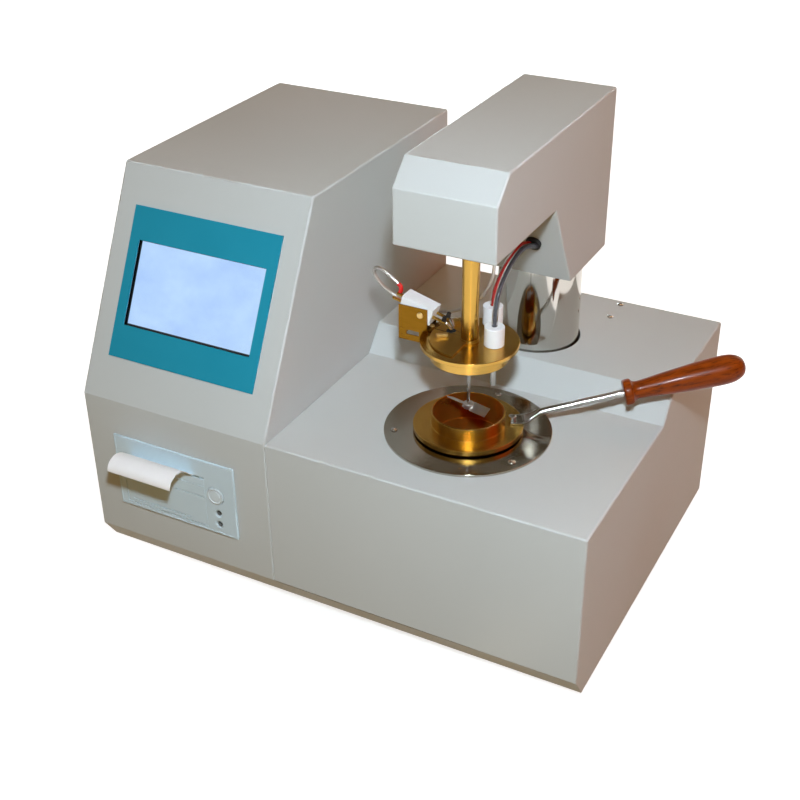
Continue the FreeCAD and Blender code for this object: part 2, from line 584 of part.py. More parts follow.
def make_paper_strip():
    """The printed strip: it leaves the slot, curls up and over, and hangs at its free end."""
    thick = size("paper_thickness")
    z = size("slot_bottom") + size("slot_height") / 2
    crest = z + size("paper_rise")
    reach = size("paper_reach")
    lie = size("door_top") + size("paper_lie") + thick / 2
    back_share, climb_share, crest_share, fall_share = 0.6, 0.35, 0.72, 0.93
    points = [
        Vector(0, size("roll_back") * back_share, lie),
        Vector(0, size("bezel_tuck") + size("cradle_wall"), lie),
        Vector(0, 0, z),
        Vector(0, -reach * climb_share, z + size("paper_rise") * climb_share * 2),
        Vector(0, -reach * crest_share, crest),
        Vector(0, -reach * fall_share, crest - size("paper_drop") / 2),
        Vector(0, -reach, crest - size("paper_drop") - size("paper_tail")),
    ]
    curve = Part.BSplineCurve()
    curve.interpolate(points)
    steps = 24
    samples = [curve.value(curve.FirstParameter + (curve.LastParameter - curve.FirstParameter) * i / steps)
               for i in range(steps + 1)]
    sides = []
    for i, point in enumerate(samples):
        ahead = samples[min(i + 1, steps)] - samples[max(i - 1, 0)]
        normal = Vector(0, ahead.z, -ahead.y).normalize()
        sides.append((point + normal * (thick / 2), point - normal * (thick / 2)))
    upper = Part.BSplineCurve()
    upper.interpolate([a for a, b in sides])
    lower = Part.BSplineCurve()
    lower.interpolate([b for a, b in reversed(sides)])
    near = Part.LineSegment(sides[-1][0], sides[-1][1])
    far = Part.LineSegment(sides[0][1], sides[0][0])
    face = Part.Face(Part.Wire([upper.toShape(), near.toShape(), lower.toShape(), far.toShape()]))
    strip = doc.addObject("Part::Feature", "paper_strip")
    strip.Shape = face.extrude(Vector(size("paper_width"), 0, 0))
    return at(strip, "door_x + paper_inset")


# Fan and power entry


def make_fan():
    low_x = "fan_x - fan_width / 2"
    low_z = "fan_z - fan_width / 2"
    y = "depth - wall - fan_depth"
    case = block("fan_case", low_x, y, low_z, "fan_width", "fan_depth", "fan_width")
    bore = rod("fan_bore_hole", "fan_x", y, "fan_z", "fan_bore", "fan_depth", "y")
    struts = []
    for i, (w, h) in enumerate((("fan_width", "strut_width"), ("strut_width", "fan_width"))):
        struts.append(block("fan_strut_%d" % i, "fan_x - %s / 2" % w, y, "fan_z - %s / 2" % h, w, "2 * wall", h))
    rings = []
    for i in range(COUNTS["guard_rings"]):
        middle = "fan_bore * (%d + 1) / (guard_rings + 1)" % i
        rings.append(ring("guard_ring_%d" % i, "fan_x", "depth - wall - guard_wire * 3 / 2", "fan_z",
                          middle + " + guard_wire / 2", middle + " - guard_wire / 2", "guard_wire", "y"))
    for i, (w, h) in enumerate((("fan_width", "2 * guard_wire"), ("2 * guard_wire", "fan_width"))):
        rings.append(block("guard_bar_%d" % i, "fan_x - (%s) / 2" % w, "depth - wall - 2 * guard_wire",
                           "fan_z - (%s) / 2" % h, w, "2 * guard_wire", h))
    frame = fuse("fan_frame", cut("fan_shell", case, bore), *struts, *rings)
    hub = rod("fan_hub_core", "fan_x", y + " + 2 * wall + door_gap", "fan_z", "fan_hub", "blade_depth", "y")
    blades = []
    for i in range(COUNTS["fan_blades"]):
        blade = doc.addObject("Part::Box", "fan_blade_%d" % i)
        bind(blade, Length="blade_tip", Width="blade_thickness", Height="blade_depth")
        turn = Rotation(Vector(0, 0, 1), i * 360 / COUNTS["fan_blades"])
        twist = Rotation(Vector(1, 0, 0), ANGLES["fan_blade_twist"])
        blade.Placement = Placement(Vector(), TURNS["y"] * turn * twist)
        blades.append(at(blade, "fan_x", y + " + 2 * wall + door_gap", "fan_z"))
    slab = rod("fan_sweep", "fan_x", y + " + 2 * wall + door_gap", "fan_z", "blade_tip", "blade_depth", "y")
    trimmed = doc.addObject("Part::Common", "fan_blades_trimmed")
    trimmed.Base = fuse("fan_blades", *blades)
    trimmed.Tool = slab
    rotor = fuse("fan_rotor", hub, trimmed)
    return [frame, rotor]


def make_power_entry():
    x = "entry_x"
    z = "foot_height + entry_low"
    case = block("entry_case", x + " + fit_gap", "depth - entry_depth", z + " + fit_gap", "entry_width - 2 * fit_gap",
                 "entry_depth", "entry_height - 2 * fit_gap")
    flange = block("entry_flange_plate", x + " - entry_lip", "depth", z + " - entry_lip",
                   "entry_width + 2 * entry_lip", "entry_flange", "entry_height + 2 * entry_lip")
    socket = block("entry_socket", x + " + (entry_width - socket_width) / 2", "depth + entry_flange - socket_depth",
                   z + " + socket_low", "socket_width", "socket_depth + overrun", "socket_height")
    axis_y = "depth + entry_flange + rocker_proud - rocker_depth"
    rocker_x = "entry_x + (entry_width - rocker_width) / 2"
    seat = block("rocker_seat", rocker_x + " - fit_gap", axis_y + " - rocker_clear",
                 z + " + rocker_high - rocker_radius - door_gap", "rocker_width + 2 * fit_gap",
                 "rocker_clear + overrun", "2 * rocker_radius + 2 * door_gap")
    pins = []
    for i in range(3):
        pins.append(block(
            "socket_pin_%d" % i, x + " + entry_width / 2 + (%d - 1) * pin_pitch - pin_width / 2" % i,
            "depth + entry_flange - socket_depth", z + " + socket_low + socket_height / 2 - pin_width",
            "pin_width", "pin_length", "2 * pin_width",
        ))
    entry = fuse("power_entry", cut("entry_shell", fuse("entry_block", case, flange), socket, seat), *pins)
    drum = rod("rocker_drum", rocker_x, axis_y, z + " + rocker_high", "rocker_radius", "rocker_width", "x")
    front = block("rocker_face", rocker_x, axis_y, z, "rocker_width", "rocker_depth", "entry_height")
    rocker = doc.addObject("Part::Common", "power_rocker")
    rocker.Base = drum
    rocker.Tool = front
    return [entry, rocker]


# Boards inside the console


def make_electronics():
    board_z = "floor_top + standoff_height"
    board = block("board_sheet", "board_x", "board_y", board_z, "board_width", "board_depth", "board_thickness")
    parts = [board]
    inset = "2 * standoff_radius"
    for i, x in enumerate(("board_x + " + inset, "board_x + board_width - " + inset)):
        for j, y in enumerate(("board_y + " + inset, "board_y + board_depth - " + inset)):
            parts.append(rod("standoff_%d%d" % (i, j), x, y, "floor_top", "standoff_radius", "standoff_height"))
    top = board_z + " + board_thickness"
    parts.append(block("chip", "board_x + board_width / 2", "board_y + board_depth / 2", top, "chip_width",
                       "chip_width", "chip_height"))
    parts.append(block("port_row", "board_x + chip_width", "board_y + board_depth - chip_width / 2", top,
                       "board_width / 2", "chip_width / 2", "port_height"))
    board_piece = fuse("control_board", *parts)
    supply = block("power_supply", "supply_x", "supply_y", "floor_top", "supply_width", "supply_depth",
                   "supply_height")
    return [board_piece, supply]


# Cup, plate and heater


def make_cup():
    body = turned("cup", [
        ("0", "cup_under"), ("cup_bore + cup_wall", "cup_under"), ("cup_bore + cup_wall", "flange_under"),
        ("flange_radius", "flange_under"), ("flange_radius", "flange_top - edge_ease"),
        ("flange_radius - edge_ease", "flange_top"), ("cup_bore + collar_wall", "flange_top"),
        ("cup_bore + collar_wall", "rim_z"), ("cup_bore", "rim_z"), ("cup_bore", "rim_z - fill_mark_depth"),
        ("cup_bore - fill_ledge", "rim_z - fill_mark_depth"), ("cup_bore - fill_ledge", "cup_inside"),
        ("0", "cup_inside"),
    ])
    return at(body, "head_x", "cup_y")


def make_bath():
    plate = ring("plate_disc", "head_x", "cup_y", "base_top", "plate_radius", "well_neck + neck_gap",
                 "plate_thickness")
    holes = [rod("plate_hole_%d" % i, x, y, "base_top - overrun", "screw_shank", "2 * overrun")
             for i, (x, y) in enumerate(plate_screw_places())]
    bath_plate = cut("bath_plate", plate, *holes)
    well = at(turned("bath_well", [
        ("0", "well_under"), ("well_radius", "well_under"), ("well_radius", "well_top"), ("well_neck", "well_top"),
        ("well_neck", "flange_under"), ("well_bore", "flange_under"), ("well_bore", "well_inside"),
        ("0", "well_inside"),
    ]), "head_x", "cup_y")
    heater = ring("heater_band", "head_x", "cup_y", "well_under + heater_low", "well_radius + heater_wall",
                  "well_radius", "heater_height")
    wool_bore = "well_radius + heater_wall"
    wool = ring("bath_wool", "head_x", "cup_y", "well_under", wool_bore + " + wool_wall", wool_bore, "wool_height")
    plate_z = "stand_top - stand_thickness"
    disc = rod("stand_disc", "head_x", "cup_y", plate_z, wool_bore + " + wool_wall", "stand_thickness")
    legs = []
    for i in range(COUNTS["plate_screws"]):
        angle = "(plate_screw_start + %d * 360 / plate_screws) * 1 deg" % i
        legs.append(rod("stand_leg_%d" % i, "head_x + stand_reach * cos(%s)" % angle,
                        "cup_y + stand_reach * sin(%s)" % angle, "floor_top", "stand_leg",
                        "stand_top - stand_thickness - floor_top"))
    return [bath_plate, well, heater, wool, fuse("bath_stand", disc, *legs)]


def domed_screw(name, x, y, z):
    """A small screw with a domed head, made as a turned piece."""
    body = turned(name, [
        ("0", "-screw_length"), ("screw_shank - fit_gap", "-screw_length"), ("screw_shank - fit_gap", "0"),
        ("screw_head", "0"), ("screw_head * 0.9", "screw_rise * 0.45"), ("screw_head * 0.6", "screw_rise * 0.85"),
        ("0", "screw_rise"),
    ])
    return at(body, x, y, z)


def make_cover_screws():
    screws = [domed_screw("plate_screw_%d" % i, x, y, "plate_top") for i, (x, y) in enumerate(plate_screw_places())]
    screws += [domed_screw("deck_screw_%d" % i, x, y, "deck_top") for i, (x, y) in enumerate(deck_screw_places())]
    return group("cover_screws", *screws)


# Cup handle


def along_handle(thing, x, y, z, turn):
    """Puts a piece in the handle's own frame: x along it, from above the middle of its strap."""
    thing.Placement = Placement(Vector(), turn)
    cos_a, sin_a = "cos(grip_azimuth * 1 deg)", "sin(grip_azimuth * 1 deg)"
    bind(
        thing,
        Placement__Base__x="head_x - datum_x + (grip_reach + (%s)) * %s - (%s) * %s" % (x, cos_a, y, sin_a),
        Placement__Base__y="cup_y - datum_y + (grip_reach + (%s)) * %s + (%s) * %s" % (x, sin_a, y, cos_a),
        Placement__Base__z=z,
    )
    return thing


def make_handle():
    flat = Rotation(Vector(0, 0, 1), ANGLES["grip_azimuth"])
    rising = flat * Rotation(Vector(0, 1, 0), -ANGLES["grip_rise"])
    strap = block("strap", "0", "0", "0", "strap_length", "strap_width", "strap_thickness", local=True)
    along_handle(strap, "-strap_length / 2", "-strap_width / 2", "flange_top", flat)
    bar = rod("handle_bar", "0", "0", "0", "rod_radius", "rod_length + rod_tang - rod_start", local=True)
    along_handle(bar, "rod_start", "0", "rod_base + rod_start * tan(grip_rise * 1 deg)", rising * TURNS["x"])
    knuckle = doc.addObject("Part::Cone", "handle_knuckle")
    bind(knuckle, Radius1="knuckle_radius", Radius2="rod_radius", Height="rod_base - flange_top")
    along_handle(knuckle, "rod_start", "0", "flange_top", flat)
    head_hole = rod("handle_screw_hole", "0", "0", "0", "screw_shank", "overrun", local=True)
    along_handle(head_hole, "-rod_start", "0", "flange_top - overrun / 2", flat)
    handle_rod = cut("handle_rod", fuse("handle_bar_block", strap, knuckle, bar), head_hole)
    grip = turned("cup_handle", [
        ("0", "rod_radius"), ("0", "grip_collar * 0.92"), ("edge_ease", "grip_collar"),
        ("grip_collar_length - edge_ease", "grip_collar"), ("grip_collar_length", "grip_collar * 0.92"),
        ("grip_collar_length + grip_neck_length * 0.6", "grip_neck * 1.04"),
        ("grip_collar_length + grip_neck_length", "grip_neck"),
        ("grip_length * 0.3", "grip_swell * 0.74"), ("grip_length * 0.48", "grip_swell * 0.88"),
        ("grip_length * 0.66", "grip_swell * 0.97"), ("grip_length * 0.8", "grip_swell"),
        ("grip_length * 0.88", "grip_swell * 0.97"), ("grip_length * 0.94", "grip_swell * 0.82"),
        ("grip_length * 0.98", "grip_swell * 0.53"), ("grip_length", "grip_swell * 0.15"),
        ("grip_length", "0"), ("rod_tang", "0"), ("rod_tang", "rod_radius"),
    ], "XZ_Plane", "H_Axis")
    along_handle(grip, "rod_length * cos(grip_rise * 1 deg)", "0",
                 "rod_base + rod_length * sin(grip_rise * 1 deg)", rising)
    return [handle_rod, grip]


def make_handle_screw():
    body = turned("handle_screw", [
        ("0", "-screw_length / 4"), ("screw_shank - fit_gap", "-screw_length / 4"), ("screw_shank - fit_gap", "0"),
        ("screw_head * 0.85", "0"), ("screw_head * 0.8", "screw_rise * 0.6"), ("screw_head * 0.5", "screw_rise"),
        ("0", "screw_rise * 1.1"),
    ])
    return along_handle(body, "-rod_start", "0", "flange_top + strap_thickness", Rotation())


# Column and lift


def make_lift():
    sleeve = ring("column_cover", "head_x", "column_y", "column_under", "column_radius",
                  "column_radius - column_wall", "column_length")
    disc = rod("carriage_disc", "head_x", "column_y", "column_under", "column_radius - column_wall - slide_gap",
               "carriage_height")
    bores = [rod("nut_bore", "head_x", "column_y", "column_under", "screw_radius + bore_gap", "carriage_height")]
    guides = []
    tie_bores = [rod("tie_bore", "head_x", "column_y", "tie_under", "screw_radius + bore_gap", "tie_height")]
    for i, side in enumerate(("-", "+")):
        x = "head_x %s guide_reach" % side
        bores.append(rod("guide_bore_%d" % i, x, "column_y", "column_under", "guide_radius + bore_gap",
                         "carriage_height"))
        guides.append(rod("guide_rod_%d" % i, x, "column_y", "floor_top", "guide_radius", "tie_under - floor_top"))
    tie = rod("tie_disc", "head_x", "column_y", "tie_under", "column_radius - column_wall - tie_gap", "tie_height")
    frame = fuse("lift_frame", cut("tie_plate", tie, *tie_bores), *guides)
    carriage = cut("lift_carriage", disc, *bores)
    motor = fuse(
        "lift_motor",
        block("lift_motor_case", "head_x - lift_motor_width / 2", "column_y - lift_motor_width / 2", "floor_top",
              "lift_motor_width", "lift_motor_width", "lift_motor_height"),
        rod("lift_motor_boss", "head_x", "column_y", "floor_top + lift_motor_height", "boss_radius", "boss_height"),
    )
    screw = rod("lift_screw", "head_x", "column_y", "motor_top + boss_gap", "screw_radius",
                "tie_under + tie_height - screw_end - motor_top - boss_gap")
    return [sleeve, carriage, frame, motor, screw]


# Arm


def make_arm_cover():
    body = body_of("arm_outer")
    corners = [
        ("arm_front", "arm_floor"), ("arm_front", "arm_top - arm_nose_drop"),
        ("arm_front + arm_nose_run", "arm_top"), ("arm_back", "arm_top"), ("arm_back", "housing_floor"),
        ("housing_front", "housing_floor"), ("arm_notch", "arm_floor"),
    ]
    feature = pad(body, "arm_pad", "YZ_Plane", corners, "arm_width")
    rounded(body, feature, "bend_radius", lambda edge: True)
    at(body, "arm_left")
    hollow = extruded("arm_hollow", [
        ("arm_front + wall", "arm_inside"),
        ("arm_front + wall", "arm_top - arm_nose_drop - nose_low_inset"),
        ("arm_front + arm_nose_run + nose_high_inset", "arm_top - wall"),
        ("arm_back - wall", "arm_top - wall"),
        ("arm_back - wall", "housing_floor + wall"),
        ("housing_front + brace_inset", "housing_floor + wall"),
        ("arm_notch + brace_inset", "arm_inside"),
    ], "arm_left + wall", "arm_width - 2 * wall")
    tube_hole = rod("tube_hole", "head_x", "cup_y", "arm_floor - overrun", "tube_radius + slide_gap", "2 * overrun")
    sleeve_hole = rod("sleeve_hole", "head_x", "column_y", "housing_floor - overrun", "column_radius + fit_gap",
                      "2 * overrun")
    neck_hole = on_brace(rod("grommet_hole", "0", "0", "0", "grommet_neck", "2 * overrun", local=True),
                         "-overrun")
    return cut("arm_cover", body, hollow, tube_hole, sleeve_hole, neck_hole)


def on_brace(thing, out):
    """Puts a piece square to the sloping panel under the arm, at the cable entry."""
    lean_angle = math.degrees(math.atan2(size("brace_rise"), size("brace_run")))
    thing.Placement = Placement(Vector(), Rotation(Vector(1, 0, 0), 180 - lean_angle))
    down = "grommet_down"
    bind(
        thing,
        Placement__Base__x="head_x + grommet_x - datum_x",
        Placement__Base__y="arm_notch - datum_y + (%s * brace_run - (%s) * brace_rise) / brace_length" % (down, out),
        Placement__Base__z="arm_floor - (%s * brace_rise + (%s) * brace_run) / brace_length" % (down, out),
    )
    return thing


def make_grommets():
    head = on_brace(rod("grommet_head", "0", "0", "0", "grommet_radius", "grommet_proud", local=True), "0")
    neck = on_brace(rod("grommet_neck_piece", "0", "0", "0", "grommet_neck", "2 * wall", local=True), "-2 * wall")
    end = IGNITER_ROUTE[-1]
    ferrule = rod("lead_ferrule", "head_x + (%s)" % end[0], "cup_y + (%s)" % end[1], "arm_floor - bush_height",
                  "bush_radius", "bush_height")
    return group("cable_grommet", fuse("brace_grommet", head, neck), ferrule)


def make_arm_frame():
    x = "arm_left + wall + frame_gap"
    plate = block("frame_plate", x, "arm_front + frame_front", "arm_inside", "arm_width - 2 * wall - 2 * frame_gap",
                  "arm_back - wall - frame_gap - arm_front - frame_front", "frame_thickness")
    tube_bore = rod("frame_tube_bore", "head_x", "cup_y", "arm_inside", "tube_radius + tube_fit", "frame_thickness")
    parts = [cut("frame_plate_cut", plate, tube_bore)]
    for i, side in enumerate(("-", "+")):
        parts.append(rod("frame_post_%d" % i, "head_x %s post_reach" % side, "cup_y", "frame_top", "post_radius",
                         "post_height"))
    shelf = block("motor_shelf", "head_x - shelf_width / 2", "cup_y - shelf_depth / 2", "shelf_under",
                  "shelf_width", "shelf_depth", "frame_thickness")
    shaft_hole = rod("shelf_bore", "head_x", "cup_y", "shelf_under", "sleeve_radius", "frame_thickness")
    parts.append(cut("motor_shelf_cut", shelf, shaft_hole))
    motor = ring("stirrer_motor", "head_x", "cup_y", "shelf_top", "motor_radius", "shaft_radius + bore_gap",
                 "motor_height")
    drive = ring("shutter_drive", "head_x", "cup_y", "frame_top", "drive_radius", "drive_bore", "drive_height")
    return [fuse("arm_frame", *parts), motor, drive]


# Lid and what stands on it


def wedge(name, inner, outer, z, height, start, end):
    """Part of a ring about the cup's axis, between two directions."""
    piece = doc.addObject("Part::Cylinder", name)
    bind(piece, Radius=outer, Height=height, Angle="(%s) - (%s)" % (end, start))
    piece.Placement = Placement(Vector(), Rotation(Vector(0, 0, 1), angle_of(start)))
    at(piece, "head_x", "cup_y", z)
    if inner is None:
        return piece
    return cut(name + "_open", piece, rod(name + "_bore", "head_x", "cup_y", z, inner, height))


def angle_of(names):
    """The sum of a few signed angle names, in degrees."""
    total = 0
    for sign, name in re.findall(r"([+-]?)\s*([a-z_]+)", names):
        total += (-1 if sign == "-" else 1) * ANGLES[name]
    return total


def polar(reach, azimuth):
    return (
        "head_x + %s * cos(%s * 1 deg)" % (reach, azimuth),
        "cup_y + %s * sin(%s * 1 deg)" % (reach, azimuth),
    )


def make_lid():
    inner = "cup_bore + collar_wall + skirt_gap"
    body = at(turned("lid_blank", [
        ("0", "lid_under"), (inner, "lid_under"), (inner, "lid_under - skirt_drop"),
        ("skirt_outer - edge_ease", "lid_under - skirt_drop"), ("skirt_outer", "lid_under - skirt_drop + edge_ease"),
        ("skirt_outer", "lid_under"), ("lid_radius - edge_ease", "lid_under"), ("lid_radius", "lid_under + edge_ease"),
        ("lid_radius", "lid_top - edge_ease"), ("lid_radius - edge_ease", "lid_top"), ("0", "lid_top"),
    ]), "head_x", "cup_y")
    port_x, port_y = polar("port_reach", "port_azimuth")
    shaft_hole = rod("lid_shaft_hole", "head_x", "cup_y", "lid_under", "shaft_radius + bore_gap", "lid_thickness")
    port = rod("lid_port", port_x, port_y, "lid_under - overrun", "port_radius", "2 * overrun")
    probe_hole = rod("lid_probe_hole", "probe_x", "probe_y", "lid_under - overrun", "probe_radius + bore_gap",
                     "2 * overrun")
    boss = rod("detector_boss", "sensor_x", "sensor_y", "lid_top", "boss_wide", "boss_rise")
    return fuse("lid", cut("lid_drilled", body, shaft_hole, port, probe_hole), boss)


def make_tube():
    """The tube that carries the lid; the shutter's hub turns on its narrow foot, over a slot for the pin."""
    foot = ring("tube_foot", "head_x", "cup_y", "lid_top", "spigot_radius", "tube_bore", "spigot_height")
    tube = ring("tube_pipe", "head_x", "cup_y", "lid_top + spigot_height", "tube_radius", "tube_bore",
                "frame_top - lid_top - spigot_height")
    slot = wedge("pin_slot", None, "tube_radius", "lid_top + cross_pin_rise - cross_slot / 2", "cross_slot",
                 "pin_azimuth - shutter_swing - slot_margin", "pin_azimuth + slot_margin")
    return cut("lid_tube", fuse("tube_blank", tube, foot), slot)


def make_shutter():
    bore = "spigot_radius + hub_gap"
    plate = wedge("shutter_plate", bore, "shutter_radius", "lid_top", "shutter_thickness", "shutter_start",
                  "shutter_end")
    hub = ring("shutter_hub", "head_x", "cup_y", "lid_top", "hub_radius", bore, "hub_height")
    port_x, port_y = polar("port_reach", "port_azimuth")
    port = rod("shutter_port", port_x, port_y, "lid_top - overrun", "port_radius", "2 * overrun")
    catch = doc.addObject("Part::Box", "shutter_catch")
    bind(catch, Length="catch_width", Width="catch_width", Height="catch_height")
    catch.Placement = Placement(Vector(), Rotation(Vector(0, 0, 1), ANGLES["catch_azimuth"]))
    cos_c, sin_c = "cos(catch_azimuth * 1 deg)", "sin(catch_azimuth * 1 deg)"
    at(catch, "head_x + (catch_reach - catch_width / 2) * %s + catch_width / 2 * %s" % (cos_c, sin_c),
       "cup_y + (catch_reach - catch_width / 2) * %s - catch_width / 2 * %s" % (sin_c, cos_c),
       "lid_top + shutter_thickness")
    pin_hole = cross_pin("shutter_pin_hole", "spigot_radius", "cross_pin_reach - spigot_radius")
    shutter = cut("shutter", fuse("shutter_blank", plate, hub, catch), port, pin_hole)
    lug = doc.addObject("Part::Box", "shutter_lug")
    bind(lug, Length="lug_length", Width="lug_width", Height="lug_height")
    lug_x, lug_y = polar("lug_reach", "lug_azimuth")
    lug.Placement = Placement(Vector(), Rotation(Vector(0, 0, 1), ANGLES["lug_turn"]))
    cos_t, sin_t = "cos(lug_turn * 1 deg)", "sin(lug_turn * 1 deg)"
    at(lug, "%s - lug_length / 2 * %s + lug_width / 2 * %s" % (lug_x, cos_t, sin_t),
       "%s - lug_length / 2 * %s - lug_width / 2 * %s" % (lug_y, sin_t, cos_t), "lid_top + shutter_thickness")
    pipe = ring("sleeve_pipe", "head_x", "cup_y", "lid_top + fit_gap", "sleeve_radius", "sleeve_bore",
                "frame_top + sleeve_top - lid_top - fit_gap")
    pin = cross_pin("shutter_cross_pin", "sleeve_radius - (sleeve_radius - sleeve_bore) / 2", "cross_pin_reach - "
                    "sleeve_radius + (sleeve_radius - sleeve_bore) / 2")
    return [shutter, lug, fuse("shutter_sleeve", pipe, pin)]


def cross_pin(name, inner, length):
    """A pin that stands out of the sleeve, through the slot in the tube, into the shutter's hub."""
    pin = doc.addObject("Part::Cylinder", name)
    bind(pin, Radius="cross_pin", Height=length)
    pin.Placement = Placement(Vector(), Rotation(Vector(0, 0, 1), ANGLES["pin_azimuth"]) * TURNS["x"])
    x, y = polar("(%s)" % inner, "pin_azimuth")
    return at(pin, x, y, "lid_top + cross_pin_rise")


def make_stirrer():
    shaft = rod("stirrer_shaft", "head_x", "cup_y", "shaft_under", "shaft_radius",
                "shelf_top + shaft_top - shaft_under")
    hub = rod("stirrer_hub", "head_x", "cup_y", "shaft_under - stir_hub_rise", "stir_hub_radius", "stir_hub_height")
    bore = rod("stirrer_bore", "head_x", "cup_y", "shaft_under", "shaft_radius", "stir_hub_height")
    parts = [cut("stirrer_hub_cut", hub, bore)]
    middle = "shaft_under - stir_hub_rise + stir_hub_height / 2"
    for i in range(2):
        blade = doc.addObject("Part::Box", "stirrer_blade_%d" % i)
        reach = "blade_reach - stir_hub_radius / 2 - shaft_radius"
        bind(blade, Length=reach, Width="blade_width", Height="blade_sheet")
        azimuth = ANGLES["blade_azimuth"] + 180 * i
        turn = Rotation(Vector(0, 0, 1), azimuth) * Rotation(Vector(1, 0, 0), ANGLES["blade_tilt"])
        blade.Placement = Placement(Vector(), turn)
        ahead = turn.multVec(Vector(1, 0, 0))
        across = turn.multVec(Vector(0, 1, 0))
        through = turn.multVec(Vector(0, 0, 1))
        corner = [
            "(shaft_radius + stir_hub_radius / 2) * (%.9f) - blade_width / 2 * (%.9f) - blade_sheet / 2 * (%.9f)"
            % (ahead[k], across[k], through[k]) for k in range(3)
        ]
        parts.append(at(blade, "head_x + " + corner[0], "cup_y + " + corner[1], middle + " + " + corner[2]))
    azimuth = ANGLES["blade_azimuth"] + 180 + 60
    grub = doc.addObject("Part::Cylinder", "stirrer_grub")
    bind(grub, Radius="grub_radius", Height="stir_hub_radius + grub_proud - 2 * shaft_radius")
    grub.Placement = Placement(Vector(), Rotation(Vector(0, 0, 1), azimuth) * TURNS["x"])
    along = (math.cos(math.radians(azimuth)), math.sin(math.radians(azimuth)))
    parts.append(at(grub, "head_x + 2 * shaft_radius * (%.9f)" % along[0],
                    "cup_y + 2 * shaft_radius * (%.9f)" % along[1], middle))
    return [shaft, fuse("stirrer_blades", *parts)]


def make_caps():
    probe = rod("temperature_probe", "probe_x", "probe_y", "lid_under - probe_drop", "probe_radius",
                "probe_drop + lid_thickness + probe_rise")
    cap = cut(
        "probe_cap",
        rod("probe_cap_block", "probe_x", "probe_y", "lid_top", "cap_radius", "cap_height"),
        rod("probe_cap_bore", "probe_x", "probe_y", "lid_top", "probe_radius + bore_gap", "probe_rise"),
    )
    detector = rod("detector_cap", "sensor_x", "sensor_y", "lid_top + boss_rise", "cap_radius", "cap_height")
    return [probe, cap, detector]


# Igniter


def make_bracket():
    """A U of brass sheet on the lid's rim: two cheeks, a low web and a tab that is screwed down."""
    cheeks = []
    for i, y in enumerate(("bracket_front", "bracket_front + bracket_sheet + bracket_inner")):
        cheek = block("cheek_%d" % i, "bracket_left", y, "bracket_bottom", "bracket_width", "bracket_sheet",
                      "bracket_low + bracket_rise")
        corner = block("cheek_corner_%d" % i, "bracket_left + bracket_notch", y + " - overrun", "bracket_bottom - overrun",
                       "bracket_width", "2 * overrun", "bracket_low + overrun")
        slot = block("cheek_slot_%d" % i, "bracket_left + bracket_slot_left", y + " - overrun",
                     "bracket_bottom + bracket_slot_low", "bracket_slot_width", "2 * overrun", "bracket_slot_height")
        hole = rod("cheek_hole_%d" % i, "pivot_x", y + " - overrun", "pivot_z", "pivot_radius", "2 * overrun", "y")
        cheeks.append(cut("cheek_cut_%d" % i, cheek, corner, slot, hole))
    inner = "bracket_front + bracket_sheet"
    web = block("bracket_web", "bracket_left", inner, "bracket_bottom", "bracket_sheet", "bracket_inner",
                "bracket_low + bracket_sheet")
    tab = block("bracket_tab", "bracket_left", inner, "lid_top", "tab_length", "bracket_inner", "bracket_sheet")
    bracket = fuse("igniter_bracket", *cheeks, web, tab)
    reach = "bracket_sheet + block_gap + pivot_bite"
    back = "bracket_front + 2 * bracket_sheet + bracket_inner"
    pivots = [
        fuse(
            "pivot_screw_0",
            rod("pivot_pin_0", "pivot_x", "bracket_front", "pivot_z", "pivot_radius - fit_gap / 2", reach, "y"),
            rod("pivot_head_0", "pivot_x", "bracket_front - pivot_head_rise", "pivot_z", "pivot_head",
                "pivot_head_rise", "y"),
        ),
        fuse(
            "pivot_screw_1",
            rod("pivot_pin_1", "pivot_x", "%s - (%s)" % (back, reach), "pivot_z", "pivot_radius - fit_gap / 2", reach,
                "y"),
            rod("pivot_head_1", "pivot_x", back, "pivot_z", "pivot_head", "pivot_head_rise", "y"),
        ),
    ]
    tab_screw = rod("tab_screw", "bracket_left + tab_length - 2 * screw_shank", "igniter_y",
                    "lid_top + bracket_sheet", "screw_shank * 1.5", "pivot_head_rise")
    return [bracket, group("bracket_screws", *pivots, tab_screw)]


def tilted(thing, along, up, y, extra=None):
    """Puts a piece in the tilted block's frame: along its length and up, from the pivot."""
    turn = Rotation(Vector(0, 1, 0), ANGLES["igniter_tilt"])
    thing.Placement = Placement(Vector(), turn * extra if extra else turn)
    cos_t, sin_t = "cos(igniter_tilt * 1 deg)", "sin(igniter_tilt * 1 deg)"
    bind(
        thing,
        Placement__Base__x="pivot_x - datum_x + (%s) * %s + (%s) * %s" % (along, cos_t, up, sin_t),
        Placement__Base__y="(%s) - datum_y" % y,
        Placement__Base__z="pivot_z - (%s) * %s + (%s) * %s" % (along, sin_t, up, cos_t),
    )
    return thing


